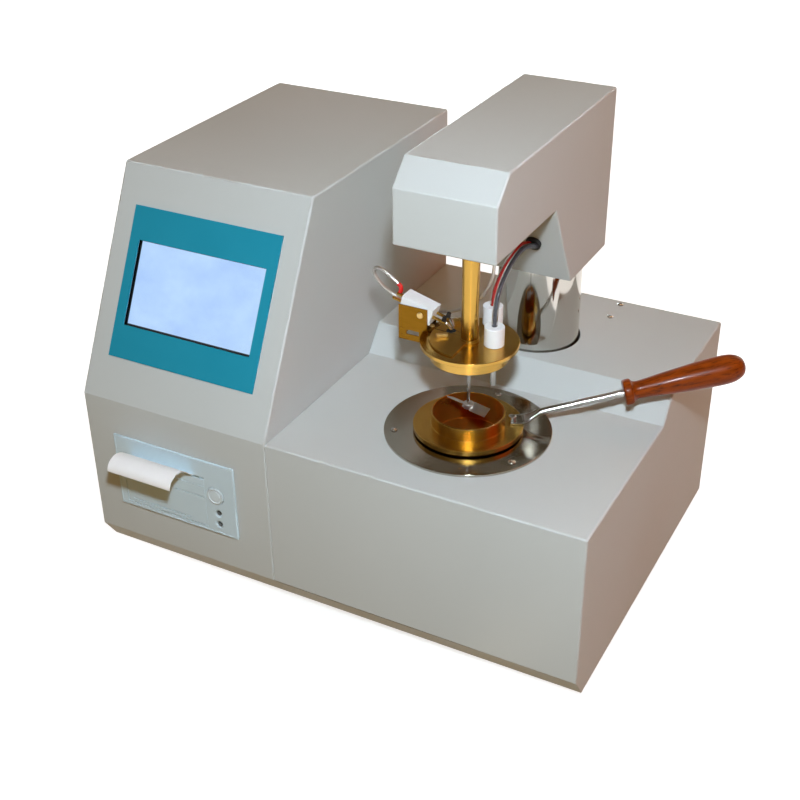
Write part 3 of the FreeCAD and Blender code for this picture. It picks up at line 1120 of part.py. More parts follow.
def make_igniter():
    block_y = "igniter_y - block_depth / 2"
    body = tilted(block("block_blank", "0", "0", "0", "block_length", "block_depth", "block_height", local=True),
                  "-pivot_in", "pivot_down - block_height", block_y)
    holes = []
    for i, y in enumerate((block_y, block_y + " + block_depth - pivot_bite - fit_gap")):
        holes.append(tilted(rod("pivot_seat_%d" % i, "0", "0", "0", "pivot_radius", "pivot_bite + fit_gap", local=True),
                            "0", "0", y, TURNS["y"]))
    rods = []
    tips = []
    clamps = []
    front = "block_length - pivot_in"
    along = "pivot_down - spark_down"
    for i, side in enumerate(("-", "+")):
        y = "igniter_y %s spark_pitch / 2" % side
        length = "spark_back + block_length + spark_front"
        start = "-pivot_in - spark_back"
        rods.append(tilted(rod("spark_rod_%d" % i, "0", "0", "0", "spark_radius", length, local=True),
                           start, along, y, TURNS["x"]))
        holes.append(tilted(rod("spark_hole_%d" % i, "0", "0", "0", "spark_radius", length, local=True),
                            start, along, y, TURNS["x"]))
        tips.append(make_tip(i, -1 if side == "-" else 1))
        clamps.append(tilted(rod("clamp_%d" % i, "0", "0", "0", "clamp_radius", "clamp_height", local=True),
                             front + " + clamp_in", along + " + spark_radius", y))
    block_piece = cut("igniter_block", body, *holes)
    return [block_piece, group("igniter_rods", *rods), group("igniter_tips", *tips), group("igniter_clamps", *clamps)]


def make_tip(index, side):
    """A plated tip that bends down from its rod's end towards the lid's port."""
    tilt = math.radians(ANGLES["igniter_tilt"])
    out = size("block_length") - size("pivot_in") + size("spark_front")
    up = size("pivot_down") - size("spark_down")
    start = Vector(
        size("pivot_x") + out * math.cos(tilt) + up * math.sin(tilt),
        size("igniter_y") + side * size("spark_pitch") / 2,
        size("pivot_z") - out * math.sin(tilt) + up * math.cos(tilt),
    )
    end = Vector(size("tip_x"), size("igniter_y") + side * size("tip_spread"), size("lid_top") + size("tip_rise"))
    run = end - start
    solid = Part.makeCone(size("tip_radius"), size("tip_radius") * TIP_END_SHARE, run.Length, Vector(), run)
    ball = Part.makeSphere(size("tip_radius"), Vector())
    tip = doc.addObject("Part::Feature", "tip_%d" % index)
    tip.Shape = solid.fuse(ball).removeSplitter().translated(start)
    reach = Part.makeCylinder(size("spark_radius"), size("tip_radius") * 2, Vector(), Vector(
        -math.cos(tilt), 0, math.sin(tilt)))
    tip.Shape = tip.Shape.cut(reach.translated(start))
    place = Vector(-size("datum_x"), -size("datum_y"), 0)
    tip.Placement = Placement(place, Rotation())
    return tip


TIP_END_SHARE = 0.7


# Leads: routes of points chosen by hand, in millimetres from the lid's middle at its top face

PROBE_ROUTE = [
    (17.7, 1.5, 14.2), (17.7, 1.5, 27.5), (17.7, 8, 39.5), (17.8, 22, 49.8), (17.9, 44, 55),
    (18.1, 60, 50.5), (18.1, 71, 45.8),
]
DETECTOR_ROUTE = [
    (6.5, 23.5, 17.7), (6.5, 23.5, 27), (8, 31.5, 37.5), (10.8, 39.5, 47), (13.3, 53, 52.8),
    (13.9, 62, 50.2), (13.9, 71, 46.2),
]
IGNITER_ROUTE = [
    (-58.3, 8.2, 20), (-56.8, 8.2, 23.6), (-60.5, 8.1, 27.2), (-66.5, 8, 31.2), (-73, 8, 35.6),
    (-78.6, 8.3, 35.2), (-80, 9.2, 30.6), (-78, 11, 24.4), (-73.5, 14, 17.4), (-65, 17, 10.4),
    (-52, 18, 6.4), (-36, 17.6, 5.6), (-22, 17.3, 8.6), (-10, 20, 14.6), (-0.5, 23.4, 23.6),
    (4.6, 24.4, 35), (6.6, 24.3, 48), (6.4, 24.3, 80.9),
]
ARC_SHARE = 0.45


def lead_path(points):
    """Straight runs joined by tangent arcs, and the radius of each arc."""
    edges = []
    radii = []
    here = points[0]
    for before, corner, after in zip(points, points[1:], points[2:]):
        back = (before - corner).normalize()
        ahead = (after - corner).normalize()
        half_turn = (math.pi - back.getAngle(ahead)) / 2
        setback = ARC_SHARE * min((corner - before).Length, (after - corner).Length)
        radius = setback / math.tan(half_turn)
        first = corner + back * setback
        last = corner + ahead * setback
        centre = corner + (back + ahead).normalize() * (radius / math.cos(half_turn))
        middle = centre + (corner - centre).normalize() * radius
        edges.append(Part.LineSegment(here, first).toShape())
        edges.append(Part.Arc(first, middle, last).toShape())
        radii.append(radius)
        here = last
    edges.append(Part.LineSegment(here, points[-1]).toShape())
    return Part.Wire(edges), radii


def make_lead(name, route, radius, trimmed=False):
    """A lead along its route. One that enters the brace's grommet is trimmed flush with its face."""
    points = [Vector(*p) for p in route]
    path, radii = lead_path(points)
    start = (points[1] - points[0]).normalize()
    circle = Part.Wire(Part.makeCircle(radius, points[0], start))
    tube = path.makePipeShell([circle], True, False)
    ideal = math.pi * radius ** 2 * path.Length
    print("%s: %.1f mm long, arcs %s, volume off by %.2f%%" % (
        name, path.Length, " ".join("%.1f" % r for r in radii), 100 * (tube.Volume / ideal - 1)))
    lead = doc.addObject("Part::Feature", name + "_tube" if trimmed else name)
    lead.Shape = tube
    at(lead, "head_x", "cup_y", "lid_top")
    if not trimmed:
        return lead
    plug = on_brace(rod(name + "_trim", "0", "0", "0", "grommet_radius", "grommet_proud + 2 * lead_radius",
                        local=True), "-2 * lead_radius")
    return cut(name, lead, plug)


def make_leads():
    return [
        make_lead("probe_lead", PROBE_ROUTE, size("lead_radius"), trimmed=True),
        make_lead("detector_lead", DETECTOR_ROUTE, size("lead_radius"), trimmed=True),
        make_lead("igniter_lead", IGNITER_ROUTE, size("thin_lead_radius")),
    ]


nodes = [
    make_base_pan(), make_feet(), make_console_shell(), make_base_cover(), make_rear_panels(),
    *make_screen(), *make_printer(), *make_fan(), *make_power_entry(), *make_electronics(),
    make_cup(), *make_bath(), make_cover_screws(), *make_handle(), make_handle_screw(),
    *make_lift(), make_arm_cover(), *make_arm_frame(), make_grommets(),
    make_lid(), make_tube(), *make_shutter(), *make_stirrer(), *make_caps(),
    *make_bracket(), *make_igniter(), *make_leads(),
]
doc.recompute()


def check_model():
    """Every object is up to date, and every node's shape is whole and valid."""
    failed = [o.Name for o in doc.Objects if {"Invalid", "Error"} & set(o.State)]
    if failed:
        raise RuntimeError("failed objects: " + ", ".join(failed))
    for node in nodes:
        shape = node.Shape
        if shape.isNull() or not shape.isValid() or not shape.Solids or shape.Volume <= 0:
            raise RuntimeError("bad shape: " + node.Label)


check_model()
os.makedirs("parts", exist_ok=True)
for node in nodes:
    node.Shape.exportStep("parts/%s.step" % node.Label)
    box = node.Shape.BoundBox
    print("%-18s solids %d  volume %9.0f  x %.1f..%.1f  y %.1f..%.1f  z %.1f..%.1f" % (
        node.Label, len(node.Shape.Solids), node.Shape.Volume, box.XMin, box.XMax, box.YMin, box.YMax,
        box.ZMin, box.ZMax))
print(len(nodes), "nodes")
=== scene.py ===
# %% [markdown]
# # A closed cup flash point tester
#
# This bench instrument heats a liquid in a small brass cup and dips an igniter through the cup's lid,
# until the vapour flashes. The lesson loads the tester's CAD parts and dresses them as the photograph
# shows them: painted sheet steel, turned brass, chrome, varnished wood and soft leads.

# %% Load the CAD parts
import bpy
import bmesh
import json
import math
from mathutils import Matrix, Vector

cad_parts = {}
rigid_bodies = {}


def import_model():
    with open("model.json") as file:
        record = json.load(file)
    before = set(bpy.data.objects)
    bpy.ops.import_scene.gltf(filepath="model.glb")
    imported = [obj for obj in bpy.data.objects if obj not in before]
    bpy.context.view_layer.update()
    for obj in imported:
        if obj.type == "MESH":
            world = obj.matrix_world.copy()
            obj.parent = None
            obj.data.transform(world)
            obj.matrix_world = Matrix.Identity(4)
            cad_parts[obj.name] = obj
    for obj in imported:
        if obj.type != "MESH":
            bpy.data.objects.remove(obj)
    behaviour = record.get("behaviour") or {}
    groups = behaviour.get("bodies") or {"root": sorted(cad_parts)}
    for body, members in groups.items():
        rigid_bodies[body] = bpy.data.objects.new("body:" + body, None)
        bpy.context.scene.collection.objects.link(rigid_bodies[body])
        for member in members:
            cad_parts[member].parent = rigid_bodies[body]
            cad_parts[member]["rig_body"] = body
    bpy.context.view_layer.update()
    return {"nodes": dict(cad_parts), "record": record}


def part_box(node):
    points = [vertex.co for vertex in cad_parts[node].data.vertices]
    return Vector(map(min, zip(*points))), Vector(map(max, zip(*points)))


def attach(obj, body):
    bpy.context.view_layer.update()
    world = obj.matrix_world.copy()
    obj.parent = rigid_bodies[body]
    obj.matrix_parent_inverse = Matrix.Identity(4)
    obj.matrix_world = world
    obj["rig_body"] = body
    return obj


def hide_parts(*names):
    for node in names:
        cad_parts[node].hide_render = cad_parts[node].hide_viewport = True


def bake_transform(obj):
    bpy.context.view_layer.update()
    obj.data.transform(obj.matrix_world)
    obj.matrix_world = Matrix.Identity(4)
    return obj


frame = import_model()

# %% [markdown]
# ## Where things are
#
# Lengths below are in millimetres, measured from the housing's left front corner on the table, as a
# drawing would give them. One matrix turns them into metres in the shared frame, whose middle is under
# the whole tester. The cup, the lid and the stirrer share one upright axis, and the column has another.

# %% Places
ORIGIN = -1000 * Vector((*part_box("console_shell")[0].xy, 0))
TO_FRAME = Matrix.Scale(0.001, 4) @ Matrix.Translation(-ORIGIN)
TEST_AXIS = Vector((282.5, 84, 0))
COLUMN_AXIS = Vector((282.5, 210, 0))
LID_TOP = 221.6
FLANGE_TOP = 155
PLATE_TOP = 150
ALONG_X = Matrix.Rotation(math.radians(90), 4, "Y")
ALONG_Y = Matrix.Rotation(math.radians(-90), 4, "X")


def spot(x, y, z):
    """A point of the drawing, in metres in the shared frame."""
    return TO_FRAME @ Vector((x, y, z))


def about_z(degrees):
    """A turn about the upright axis."""
    return Matrix.Rotation(math.radians(degrees), 4, "Z")


def round_cup(reach, degrees):
    """The x and y of a place at a distance and an angle from the cup's axis."""
    angle = math.radians(degrees)
    return TEST_AXIS.x + reach * math.cos(angle), TEST_AXIS.y + reach * math.sin(angle)


print("cup axis in the frame:", spot(*TEST_AXIS))

# %% [markdown]
# ## The camera
#
# The photograph was taken from the front right, about a metre away and well above the tester. Its place
# and its lens were found from the housing's straight edges, so every later picture can be laid over the
# photograph.

# %% Camera
YAW, PITCH, ROLL = (math.radians(a) for a in (28.286, -30.968, -0.641))
EYE = spot(612.417, -631.533, 645.782)


def placed(name, data):
    """A new object in the scene."""
    thing = bpy.data.objects.new(name, data)
    bpy.context.scene.collection.objects.link(thing)
    return thing


camera = placed("camera", bpy.data.cameras.new("camera"))
camera.data.lens = 58.25
camera.data.sensor_width = 36
ahead = Vector((-math.sin(YAW) * math.cos(PITCH), math.cos(YAW) * math.cos(PITCH), math.sin(PITCH)))
right = ahead.cross(Vector((0, 0, 1))).normalized()
above = right.cross(ahead)
level = right * math.cos(ROLL) + above * math.sin(ROLL)
upward = above * math.cos(ROLL) - right * math.sin(ROLL)
camera.matrix_world = Matrix.Translation(EYE) @ Matrix((level, upward, -ahead)).transposed().to_4x4()
bpy.context.scene.camera = camera
print("camera at", camera.matrix_world.translation, "lens", camera.data.lens)

# %% [markdown]
# ## Tools of the workshop
#
# Most pieces are made in a few ways: turned on a lathe, cut from sheet or block with their edges eased,
# drilled, or pushed along a path. Each way is one small function that works in millimetres, so the cells
# below read like a parts list. `finished` turns the result into a piece that rides on its moving part,
# stands for its CAD node and prints how many faces it has.

# %% Lathe and block
def turned(profile, ease=0.3, steps=96, closed=False, arc=360, bends=3):
    """Spins a profile of (radius, height) points about the upright axis."""
    bm = bmesh.new()
    points = [bm.verts.new((r, 0, z)) for r, z in profile]
    pairs = list(zip(points, points[1:])) + ([(points[-1], points[0])] if closed else [])
    for pair in pairs:
        bm.edges.new(pair)
    if ease:
        roomy = [v for v in bm.verts if len(v.link_edges) == 2
                 and min(e.calc_length() for e in v.link_edges) > 2.1 * ease]
        bmesh.ops.bevel(bm, geom=roomy, offset=ease, segments=bends, profile=0.5, affect="VERTICES",
                        material=-1)
    whole = arc == 360
    bmesh.ops.spin(bm, geom=bm.verts[:] + bm.edges[:], axis=(0, 0, 1), cent=(0, 0, 0),
                   angle=math.radians(arc), steps=steps, use_merge=whole)
    bmesh.ops.remove_doubles(bm, verts=bm.verts, dist=0.0005)
    if not whole:
        bmesh.ops.holes_fill(bm, edges=[e for e in bm.edges if e.is_boundary])
    return bm


def block(low, high, ease=0.3, bends=2):
    """A block between two corners, with its edges eased."""
    low, high = Vector(low), Vector(high)
    bm = bmesh.new()
    bmesh.ops.create_cube(bm, size=1)
    bmesh.ops.scale(bm, vec=high - low, verts=bm.verts)
    bmesh.ops.translate(bm, vec=(low + high) / 2, verts=bm.verts)
    if ease:
        bmesh.ops.bevel(bm, geom=bm.edges[:], offset=ease, segments=bends, profile=0.5, affect="EDGES",
                        material=-1)
    return bm


def pin(radius, low, high, ease=0.2, steps=40):
    """A round pin on the upright axis."""
    return turned([(0, low), (radius, low), (radius, high), (0, high)], ease, steps)


def ring(inner, outer, low, high, ease, steps, arc=360):
    """A ring on the upright axis, or a part of one."""
    profile = [(inner, low), (outer, low), (outer, high), (inner, high)]
    return turned(profile, ease, steps, closed=True, arc=arc)


def put(bm, x=0, y=0, z=0, turn=None):
    """Turns a piece about the drawing's corner, then moves it."""
    bmesh.ops.transform(bm, matrix=Matrix.Translation((x, y, z)) @ (turn or Matrix()), verts=bm.verts)
    return bm


print("lathe, blocks, pins and rings are ready")

# %% [markdown]
# A part is cut with another part as with a drill or a milling cutter. Blender does that with a Boolean
# modifier, which works on objects and not on a bmesh. So the two parts stand in the scene for a moment,
# and only the cut mesh is kept.

# %% Cutting and joining
def mesh_from(bm, name):
    """A mesh with the shape of a bmesh, which is used up."""
    mesh = bpy.data.meshes.new(name)
    bm.to_mesh(mesh)
    bm.free()
    return mesh


def evaluated(thing):
    """The mesh that an object's curve or modifiers give."""
    bpy.context.view_layer.update()
    return bpy.data.meshes.new_from_object(thing.evaluated_get(bpy.context.evaluated_depsgraph_get()))


def cleaned(bm, gap):
    """Merges points that are closer than the gap, and turns all faces outwards."""
    bmesh.ops.remove_doubles(bm, verts=bm.verts, dist=gap)
    bmesh.ops.recalc_face_normals(bm, faces=bm.faces)
    return bm


def together(*parts):
    """Several parts as one, each still with its own surface."""
    bm = bmesh.new()
    for part in parts:
        mesh = mesh_from(part, "part")
        bm.from_mesh(mesh)
        bpy.data.meshes.remove(mesh)
    return bm


def shown(bm, name):
    """Puts a part in the scene for a while, so that another can be cut with it."""
    return placed(name, mesh_from(cleaned(bm, 0.0005), name))


def drilled(bm, *drills, fill=False):
    """Cuts each drill's shape out of a part, or adds it where fill is set."""
    target = shown(bm, "blank")
    for drill in drills:
        tool = shown(drill, "drill")
        cutting = target.modifiers.new("cut", "BOOLEAN")
        cutting.object = tool
        cutting.operation = "UNION" if fill else "DIFFERENCE"
        cutting.solver = "EXACT"
        made = evaluated(target)
        target.modifiers.clear()
        old = target.data
        target.data = made
        bpy.data.meshes.remove(old)
        bpy.data.objects.remove(tool)
    result = bmesh.new()
    result.from_mesh(target.data)
    bpy.data.objects.remove(target)
    return result


print("cutting and joining are ready")

# %% [markdown]
# A finished piece is moved from the drawing into the frame and gets soft shading on its curves only. It
# is told which moving part it rides on and which CAD node it stands for, and takes the surface of that
# node's slot, or its own look.

# %% Finishing
SLOTS = {part["node"]: part["material_slot"] for part in frame["record"]["subparts"]}
FINISHES = {}


def shade(thing, crease):
    """Soft normals on curves, and flat ones on flats, parted at edges sharper than the crease."""
    thing.data.shade_smooth()
    thing.data.set_sharp_from_angle(angle=math.radians(crease))
    even = thing.modifiers.new("even_flats", "WEIGHTED_NORMAL")
    even.keep_sharp = True
    even.weight = 90


def dressed(thing, slot, look=None):
    """Notes which surface a piece takes: its own look where one slot has several looks, else its slot's."""
    FINISHES[thing.name] = look or slot


def finished(name, bm, body, *nodes, look=None, crease=34):
    """A piece in the shared frame, on its moving part, in place of its CAD nodes."""
    bmesh.ops.transform(bm, matrix=TO_FRAME, verts=bm.verts)
    thing = placed(name, mesh_from(cleaned(bm, 5e-7), name))
    shade(thing, crease)
    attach(thing, body)
    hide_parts(*nodes)
    dressed(thing, SLOTS[nodes[0]], look)
    print(name, "on", body, "has", len(thing.data.polygons), "faces")
    return thing


print("material slots:", len(set(SLOTS.values())))

# %% [markdown]
# ## The leads
#
# Three leads leave the arm. Two come out of the rubber grommet and end in the white caps: a dark one for
# the probe and a red one for the flash detector, each in a clear sheath. The thin one for the igniter
# comes down from the arm's floor, passes behind the lid and loops back to the igniter's brass rods.
#
# Each route is a few points, measured from the cup's axis and the lid's top, that pull on one smooth
# curve. A tube is then laid along that curve. A curve could also carry the tube itself, but sheath, core
# and sleeve have to share one line exactly, so all of them are made from the same points of it.

# %% Routes
PROBE_ROUTE = [
    (17.7, 1.5, 14.2), (17.7, 1.5, 27.5), (17.7, 8, 39.5), (17.8, 22, 49.8), (17.9, 44, 55), (18.1, 60, 50.5),
    (18.1, 71, 45.8),
]
DETECTOR_ROUTE = [
    (6.5, 23.5, 17.7), (6.5, 23.5, 27), (8, 31.5, 37.5), (10.8, 39.5, 47), (13.3, 53, 52.8), (13.9, 62, 50.2),
    (13.9, 71, 46.2),
]
IGNITER_ROUTE = [
    (-58.3, 8.2, 20), (-56.8, 8.2, 23.6), (-60.5, 8.1, 27.2), (-66.5, 8, 31.2), (-73, 8, 35.6),
    (-78.6, 8.3, 35.2), (-80, 9.2, 30.6), (-78, 11, 24.4), (-73.5, 14, 17.4), (-65, 17, 10.4), (-52, 18, 6.4),
    (-36, 17.6, 5.6), (-22, 17.3, 8.6), (-10, 20, 14.6), (-0.5, 23.4, 23.6), (4.6, 24.4, 35), (6.6, 24.3, 48),
    (6.4, 24.3, 80.9),
]


print("routes:", len(PROBE_ROUTE), len(DETECTOR_ROUTE), len(IGNITER_ROUTE), "points")

# %% [markdown]
# A smooth line comes from a NURBS curve, which the points of the route pull on without being touched. Its
# order has to be set after its points are there. A second curve with a round bevel makes the tube.

# %% Lines and tubes
def mesh_of(curve):
    """The mesh that a curve makes. The curve is used up."""
    holder = placed(curve.name + "_line", curve)
    mesh = evaluated(holder)
    bpy.data.objects.remove(holder)
    bpy.data.curves.remove(curve)
    return mesh


def line_of(route, name):
    """The smooth line of a route, as close points in metres."""
    curve = bpy.data.curves.new(name, "CURVE")
    curve.dimensions = "3D"
    curve.resolution_u = 8
    spline = curve.splines.new("NURBS")
    spline.points.add(len(route) - 1)
    for point, (x, y, z) in zip(spline.points, route):
        point.co = (*spot(TEST_AXIS.x + x, TEST_AXIS.y + y, LID_TOP + z), 1)
    spline.order_u = 3
    spline.use_endpoint_u = True
    mesh = mesh_of(curve)
    points = [v.co.copy() for v in mesh.vertices]
    bpy.data.meshes.remove(mesh)
    return points


def tube_along(points, radius, name, sides=20):
    """A tube whose middle follows the points, with closed ends."""
    curve = bpy.data.curves.new(name, "CURVE")
    curve.dimensions = "3D"
    curve.bevel_depth = radius
    curve.bevel_resolution = sides // 4
    curve.use_fill_caps = True
    spline = curve.splines.new("POLY")
    spline.points.add(len(points) - 1)
    for point, place in zip(spline.points, points):
        point.co = (*place, 1)
    mesh = mesh_of(curve)
    bm = bmesh.new()
    bm.from_mesh(mesh)
    bpy.data.meshes.remove(mesh)
    tube = placed(name, mesh_from(cleaned(bm, 1e-6), name))
    shade(tube, 50)
    return tube


def run_of(points):
    """The length of a line."""
    return sum((b - a).length for a, b in zip(points, points[1:]))


print("lines and tubes are ready")

# %% [markdown]
# The thick leads are a clear sheath round a coloured core, so light bends in the sheath as it does in the
# real one. They hang between two ends that move together, so each rides on the head. The thin lead is
# held by the arm at one end and by the igniter at the other. It keeps its resting shape and rides on no
# moving part; only its red sleeve rides on the igniter.

# %% Leads
CORE_SHARE = 0.52
for name, route, core_slot in (("probe", PROBE_ROUTE, "dark_lead"), ("detector", DETECTOR_ROUTE, "red_lead")):
    line = line_of(route, name)
    sheath = tube_along(line, 0.002, name + "_lead_sheath")
    core = tube_along(line, 0.002 * CORE_SHARE, name + "_lead_core")
    for tube in (sheath, core):
        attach(tube, "head")
    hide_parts(name + "_lead")
    dressed(sheath, "clear_lead")
    dressed(core, core_slot)
    print(name, "lead: %.1f mm" % (run_of(line) * 1000))
line = line_of(IGNITER_ROUTE, "igniter")
igniter_lead = tube_along(line, 0.0012, "igniter_lead_sheath", 16)
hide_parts("igniter_lead")
dressed(igniter_lead, SLOTS["igniter_lead"], "braided_lead")
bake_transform(igniter_lead)
sleeve = tube_along(line[:12], 0.0016, "lead_sleeve", 16)
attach(sleeve, "igniter")
dressed(sleeve, "red_lead")
print("igniter lead: %.1f mm" % (run_of(line) * 1000))

# %% [markdown]
# ## Light and floor
#
# The photograph has one cool light just above the camera, so shadows are short and fall down and back.
# A warm room lifts them: a soft lamp overhead and an orange one low at the right. One more lamp stands
# low behind the tester, for whoever walks round it.

# %% Lamps
def lamp(name, place, aim, watts, width, colour):
    """A square soft lamp that points at a place."""
    data = bpy.data.lights.new(name, "AREA")
    data.energy = watts
    data.size = width
    data.color = colour
    thing = placed(name, data)
    thing.location = place
    thing.rotation_euler = (Vector(aim) - Vector(place)).to_track_quat("-Z", "Y").to_euler()


lamp("key_lamp", camera.matrix_world @ Vector((0.02, 0.17, 0)), (0.02, 0, 0.17), 9.0, 0.06, (0.76, 0.89, 1.0))
lamp("overhead_lamp", (0.1, 1.1, 2.2), (0, 0, 0.2), 6.5, 1.4, (1.0, 0.56, 0.28))
lamp("back_lamp", (-1.0, 1.6, 0.2), (0, 0.1, 0.18), 18, 0.36, (0.78, 0.9, 1.0))
lamp("side_lamp", (1.6, 0.35, 0.5), (0.1, 0, 0.15), 3.3, 1.2, (1.0, 0.05, 0.01))

# %% [markdown]
# Polished metal shows its surroundings, and a lamp alone would leave it black with white dots. So cards
# stand round the tester that only shiny surfaces see. Five dull ones make a quiet room, which is why the
# lid and the plate look dark. Two bright ones, at the back and on the floor toward the camera, draw the
# streaks down the brass and the tube. The floor is a pale plain sheet that takes the shadow.

# %% Floor and cards
UPRIGHT = math.radians(90)


def sheet(name, width, height, place, turn=(0, 0, 0)):
    """A flat sheet of the studio."""
    bm = bmesh.new()
    bmesh.ops.create_grid(bm, x_segments=1, y_segments=1, size=0.5)
    bmesh.ops.scale(bm, vec=(width, height, 1), verts=bm.verts)
    thing = placed(name, mesh_from(bm, name))
    thing.location = place
    thing.rotation_euler = turn
    return thing


floor = sheet("floor", 6, 6, (0, 0, -0.0002))
dull_cards = [
    sheet("back_card", 5, 3, (0, 2.4, 1.7), (UPRIGHT, 0, 0)),
    sheet("front_card", 5, 3, (0, -2.4, 1.7), (UPRIGHT, 0, 0)),
    sheet("left_card", 5, 3, (-2.4, 0, 1.7), (UPRIGHT, 0, UPRIGHT)),
    sheet("right_card", 5, 3, (2.4, 0, 1.7), (UPRIGHT, 0, UPRIGHT)),
    sheet("ceiling_card", 5, 5, (0, 0, 3.2)),
]
bright_cards = [
    sheet("pale_card", 1.3, 0.9, (0.75, 2.1, 0.9), (UPRIGHT, 0, 0)),
    sheet("pale_strip", 0.5, 0.045, spot(430, -235, 1), (0, 0, math.radians(-65.2))),
]
for card in dull_cards + bright_cards:
    card.visible_camera = False
    card.visible_diffuse = False
    card.visible_transmission = False
    card.visible_shadow = False
print("sheets:", 1 + len(dull_cards) + len(bright_cards))

# %% [markdown]
# The room itself gives a weak warm light from all sides, and the eye sees it as plain white. Both are in
# the world's nodes, and a ray's kind chooses between them. Nodes are wired here as they would be in the
# editor, with one small helper that makes a node and sets its inputs.

# %% Room
def node(tree, kind, **values):
    """A new shader node with some inputs set. An input's name has _ for each space."""
    made = tree.nodes.new("ShaderNode" + kind)
    for socket, value in values.items():
        made.inputs[socket.replace("_", " ")].default_value = value
    return made


def lit_or_seen(tree, lit, seen):
    """One shader for the light that is given off, another for what the eye, metal and glass see."""
    rays = node(tree, "LightPath")
    sees = rays.outputs["Is Camera Ray"]
    for ray in ("Is Glossy Ray", "Is Transmission Ray"):
        most = node(tree, "Math")
        most.operation = "MAXIMUM"
        tree.links.new(sees, most.inputs[0])
        tree.links.new(rays.outputs[ray], most.inputs[1])
        sees = most.outputs[0]
    choose = node(tree, "MixShader")
    tree.links.new(sees, choose.inputs["Fac"])
    tree.links.new(lit, choose.inputs[1])
    tree.links.new(seen, choose.inputs[2])
    return choose.outputs[0]


world = bpy.data.worlds.new("room")
world.use_nodes = True
bpy.context.scene.world = world
tree = world.node_tree
tree.nodes.clear()
warm = node(tree, "Background", Color=(1.0, 0.61, 0.25, 1), Strength=0.18)
white = node(tree, "Background", Color=(1, 1, 1, 1), Strength=1)
room = node(tree, "OutputWorld")
tree.links.new(lit_or_seen(tree, warm.outputs[0], white.outputs[0]), room.inputs["Surface"])
bpy.context.scene.view_settings.view_transform = "Standard"
print("nodes of the room:", len(tree.nodes))

# %% [markdown]
# ## Surfaces
#
# Every surface is grown from noise in the piece's own space, so no picture is needed. Two
# tones are mixed by a noise, the roughness follows the same noise, and a finer noise gives the grain:
# orange peel on paint, fibres in wood. On turned metal that noise depends only on the height and on the
# distance from the lathe's axis, so it makes fine rings, which draw highlights out into streaks.

# %% Surface tools
MATERIALS = {}
LATHE_MARKS = 2600


def tone(red, green, blue):
    """A colour as a screen shows it, 0 to 255, as the light value that a shader wants."""
    def light(value):
        value /= 255
        return value / 12.92 if value <= 0.04045 else ((value + 0.055) / 1.055) ** 2.4
    return (light(red), light(green), light(blue), 1)


def colour_mix(tree, first, second):
    """A node that mixes two colours."""
    mix = node(tree, "Mix")
    mix.data_type = "RGBA"
    mix.inputs["A"].default_value = first
    mix.inputs["B"].default_value = second
    return mix


def surface(name, dark, light, rough, scale=60, stretch=(1, 1, 1), metallic=0.0, bump=0.0, grain=2500,
            coat=0.0, axis=None, lathe=0.0, detail=4, specular=0.5):
    """A material of two tones, with its roughness range and its grain."""
    material = MATERIALS[name] = bpy.data.materials.new(name)
    material.use_nodes = True
    material.diffuse_color = tone(*light)
    tree = material.node_tree
    tree.nodes.clear()
    link = tree.links.new
    out = node(tree, "OutputMaterial")
    shader = node(tree, "BsdfPrincipled", Metallic=metallic, Coat_Weight=coat, Coat_Roughness=0.08,
                  Specular_IOR_Level=specular)
    where = node(tree, "TexCoord")
    spread = node(tree, "Mapping", Scale=stretch)
    noise = node(tree, "TexNoise", Scale=scale, Detail=detail)
    tones = colour_mix(tree, tone(*dark), tone(*light))
    polish = node(tree, "MapRange", From_Min=0.3, From_Max=0.7, To_Min=rough[0], To_Max=rough[1])
    link(where.outputs["Object"], spread.inputs["Vector"])
    link(spread.outputs["Vector"], noise.inputs["Vector"])
    link(noise.outputs["Fac"], tones.inputs["Factor"])
    link(noise.outputs["Fac"], polish.inputs["Value"])
    link(tones.outputs["Result"], shader.inputs["Base Color"])
    link(polish.outputs["Result"], shader.inputs["Roughness"])
    normal = None
    if axis:
        centre = node(tree, "Mapping", Location=-spot(*axis))
        flat = node(tree, "VectorMath")
        flat.operation = "MULTIPLY"
        flat.inputs[1].default_value = (1, 1, 0)
        radius = node(tree, "VectorMath")
        radius.operation = "LENGTH"
        height = node(tree, "SeparateXYZ")
        line = node(tree, "CombineXYZ")
        cuts = node(tree, "TexNoise", Scale=LATHE_MARKS, Detail=2)
        marks = node(tree, "Bump", Strength=lathe, Distance=0.0001)
        link(where.outputs["Object"], centre.inputs["Vector"])
        link(centre.outputs["Vector"], flat.inputs[0])
        link(flat.outputs["Vector"], radius.inputs[0])
        link(centre.outputs["Vector"], height.inputs["Vector"])
        link(radius.outputs["Value"], line.inputs["X"])
        link(height.outputs["Z"], line.inputs["Y"])
        link(line.outputs["Vector"], cuts.inputs["Vector"])
        link(cuts.outputs["Fac"], marks.inputs["Height"])
        normal = marks.outputs["Normal"]
    if bump:
        fine = node(tree, "TexNoise", Scale=grain, Detail=2)
        peel = node(tree, "Bump", Strength=bump, Distance=0.0002)
        link(spread.outputs["Vector"], fine.inputs["Vector"])
        link(fine.outputs["Fac"], peel.inputs["Height"])
        if normal:
            link(normal, peel.inputs["Normal"])
        normal = peel.outputs["Normal"]
    if normal:
        link(normal, shader.inputs["Normal"])
    link(shader.outputs["BSDF"], out.inputs["Surface"])
    return material


def node_of(material, kind):
    """A material's first node of a kind."""
    return next(n for n in material.node_tree.nodes if n.type == kind)


def glowing(material, strength, base=(0, 0, 0, 1)):
    """Lets a surface give off its tones as light, over a dark base."""
    tree, shader = material.node_tree, node_of(material, "BSDF_PRINCIPLED")
    tree.links.remove(shader.inputs["Base Color"].links[0])
    tree.links.new(node_of(material, "MIX").outputs["Result"], shader.inputs["Emission Color"])
    shader.inputs["Base Color"].default_value = base
    shader.inputs["Emission Strength"].default_value = strength
    return material


print("a middle grey as a light value: %.3f" % tone(128, 128, 128)[0])

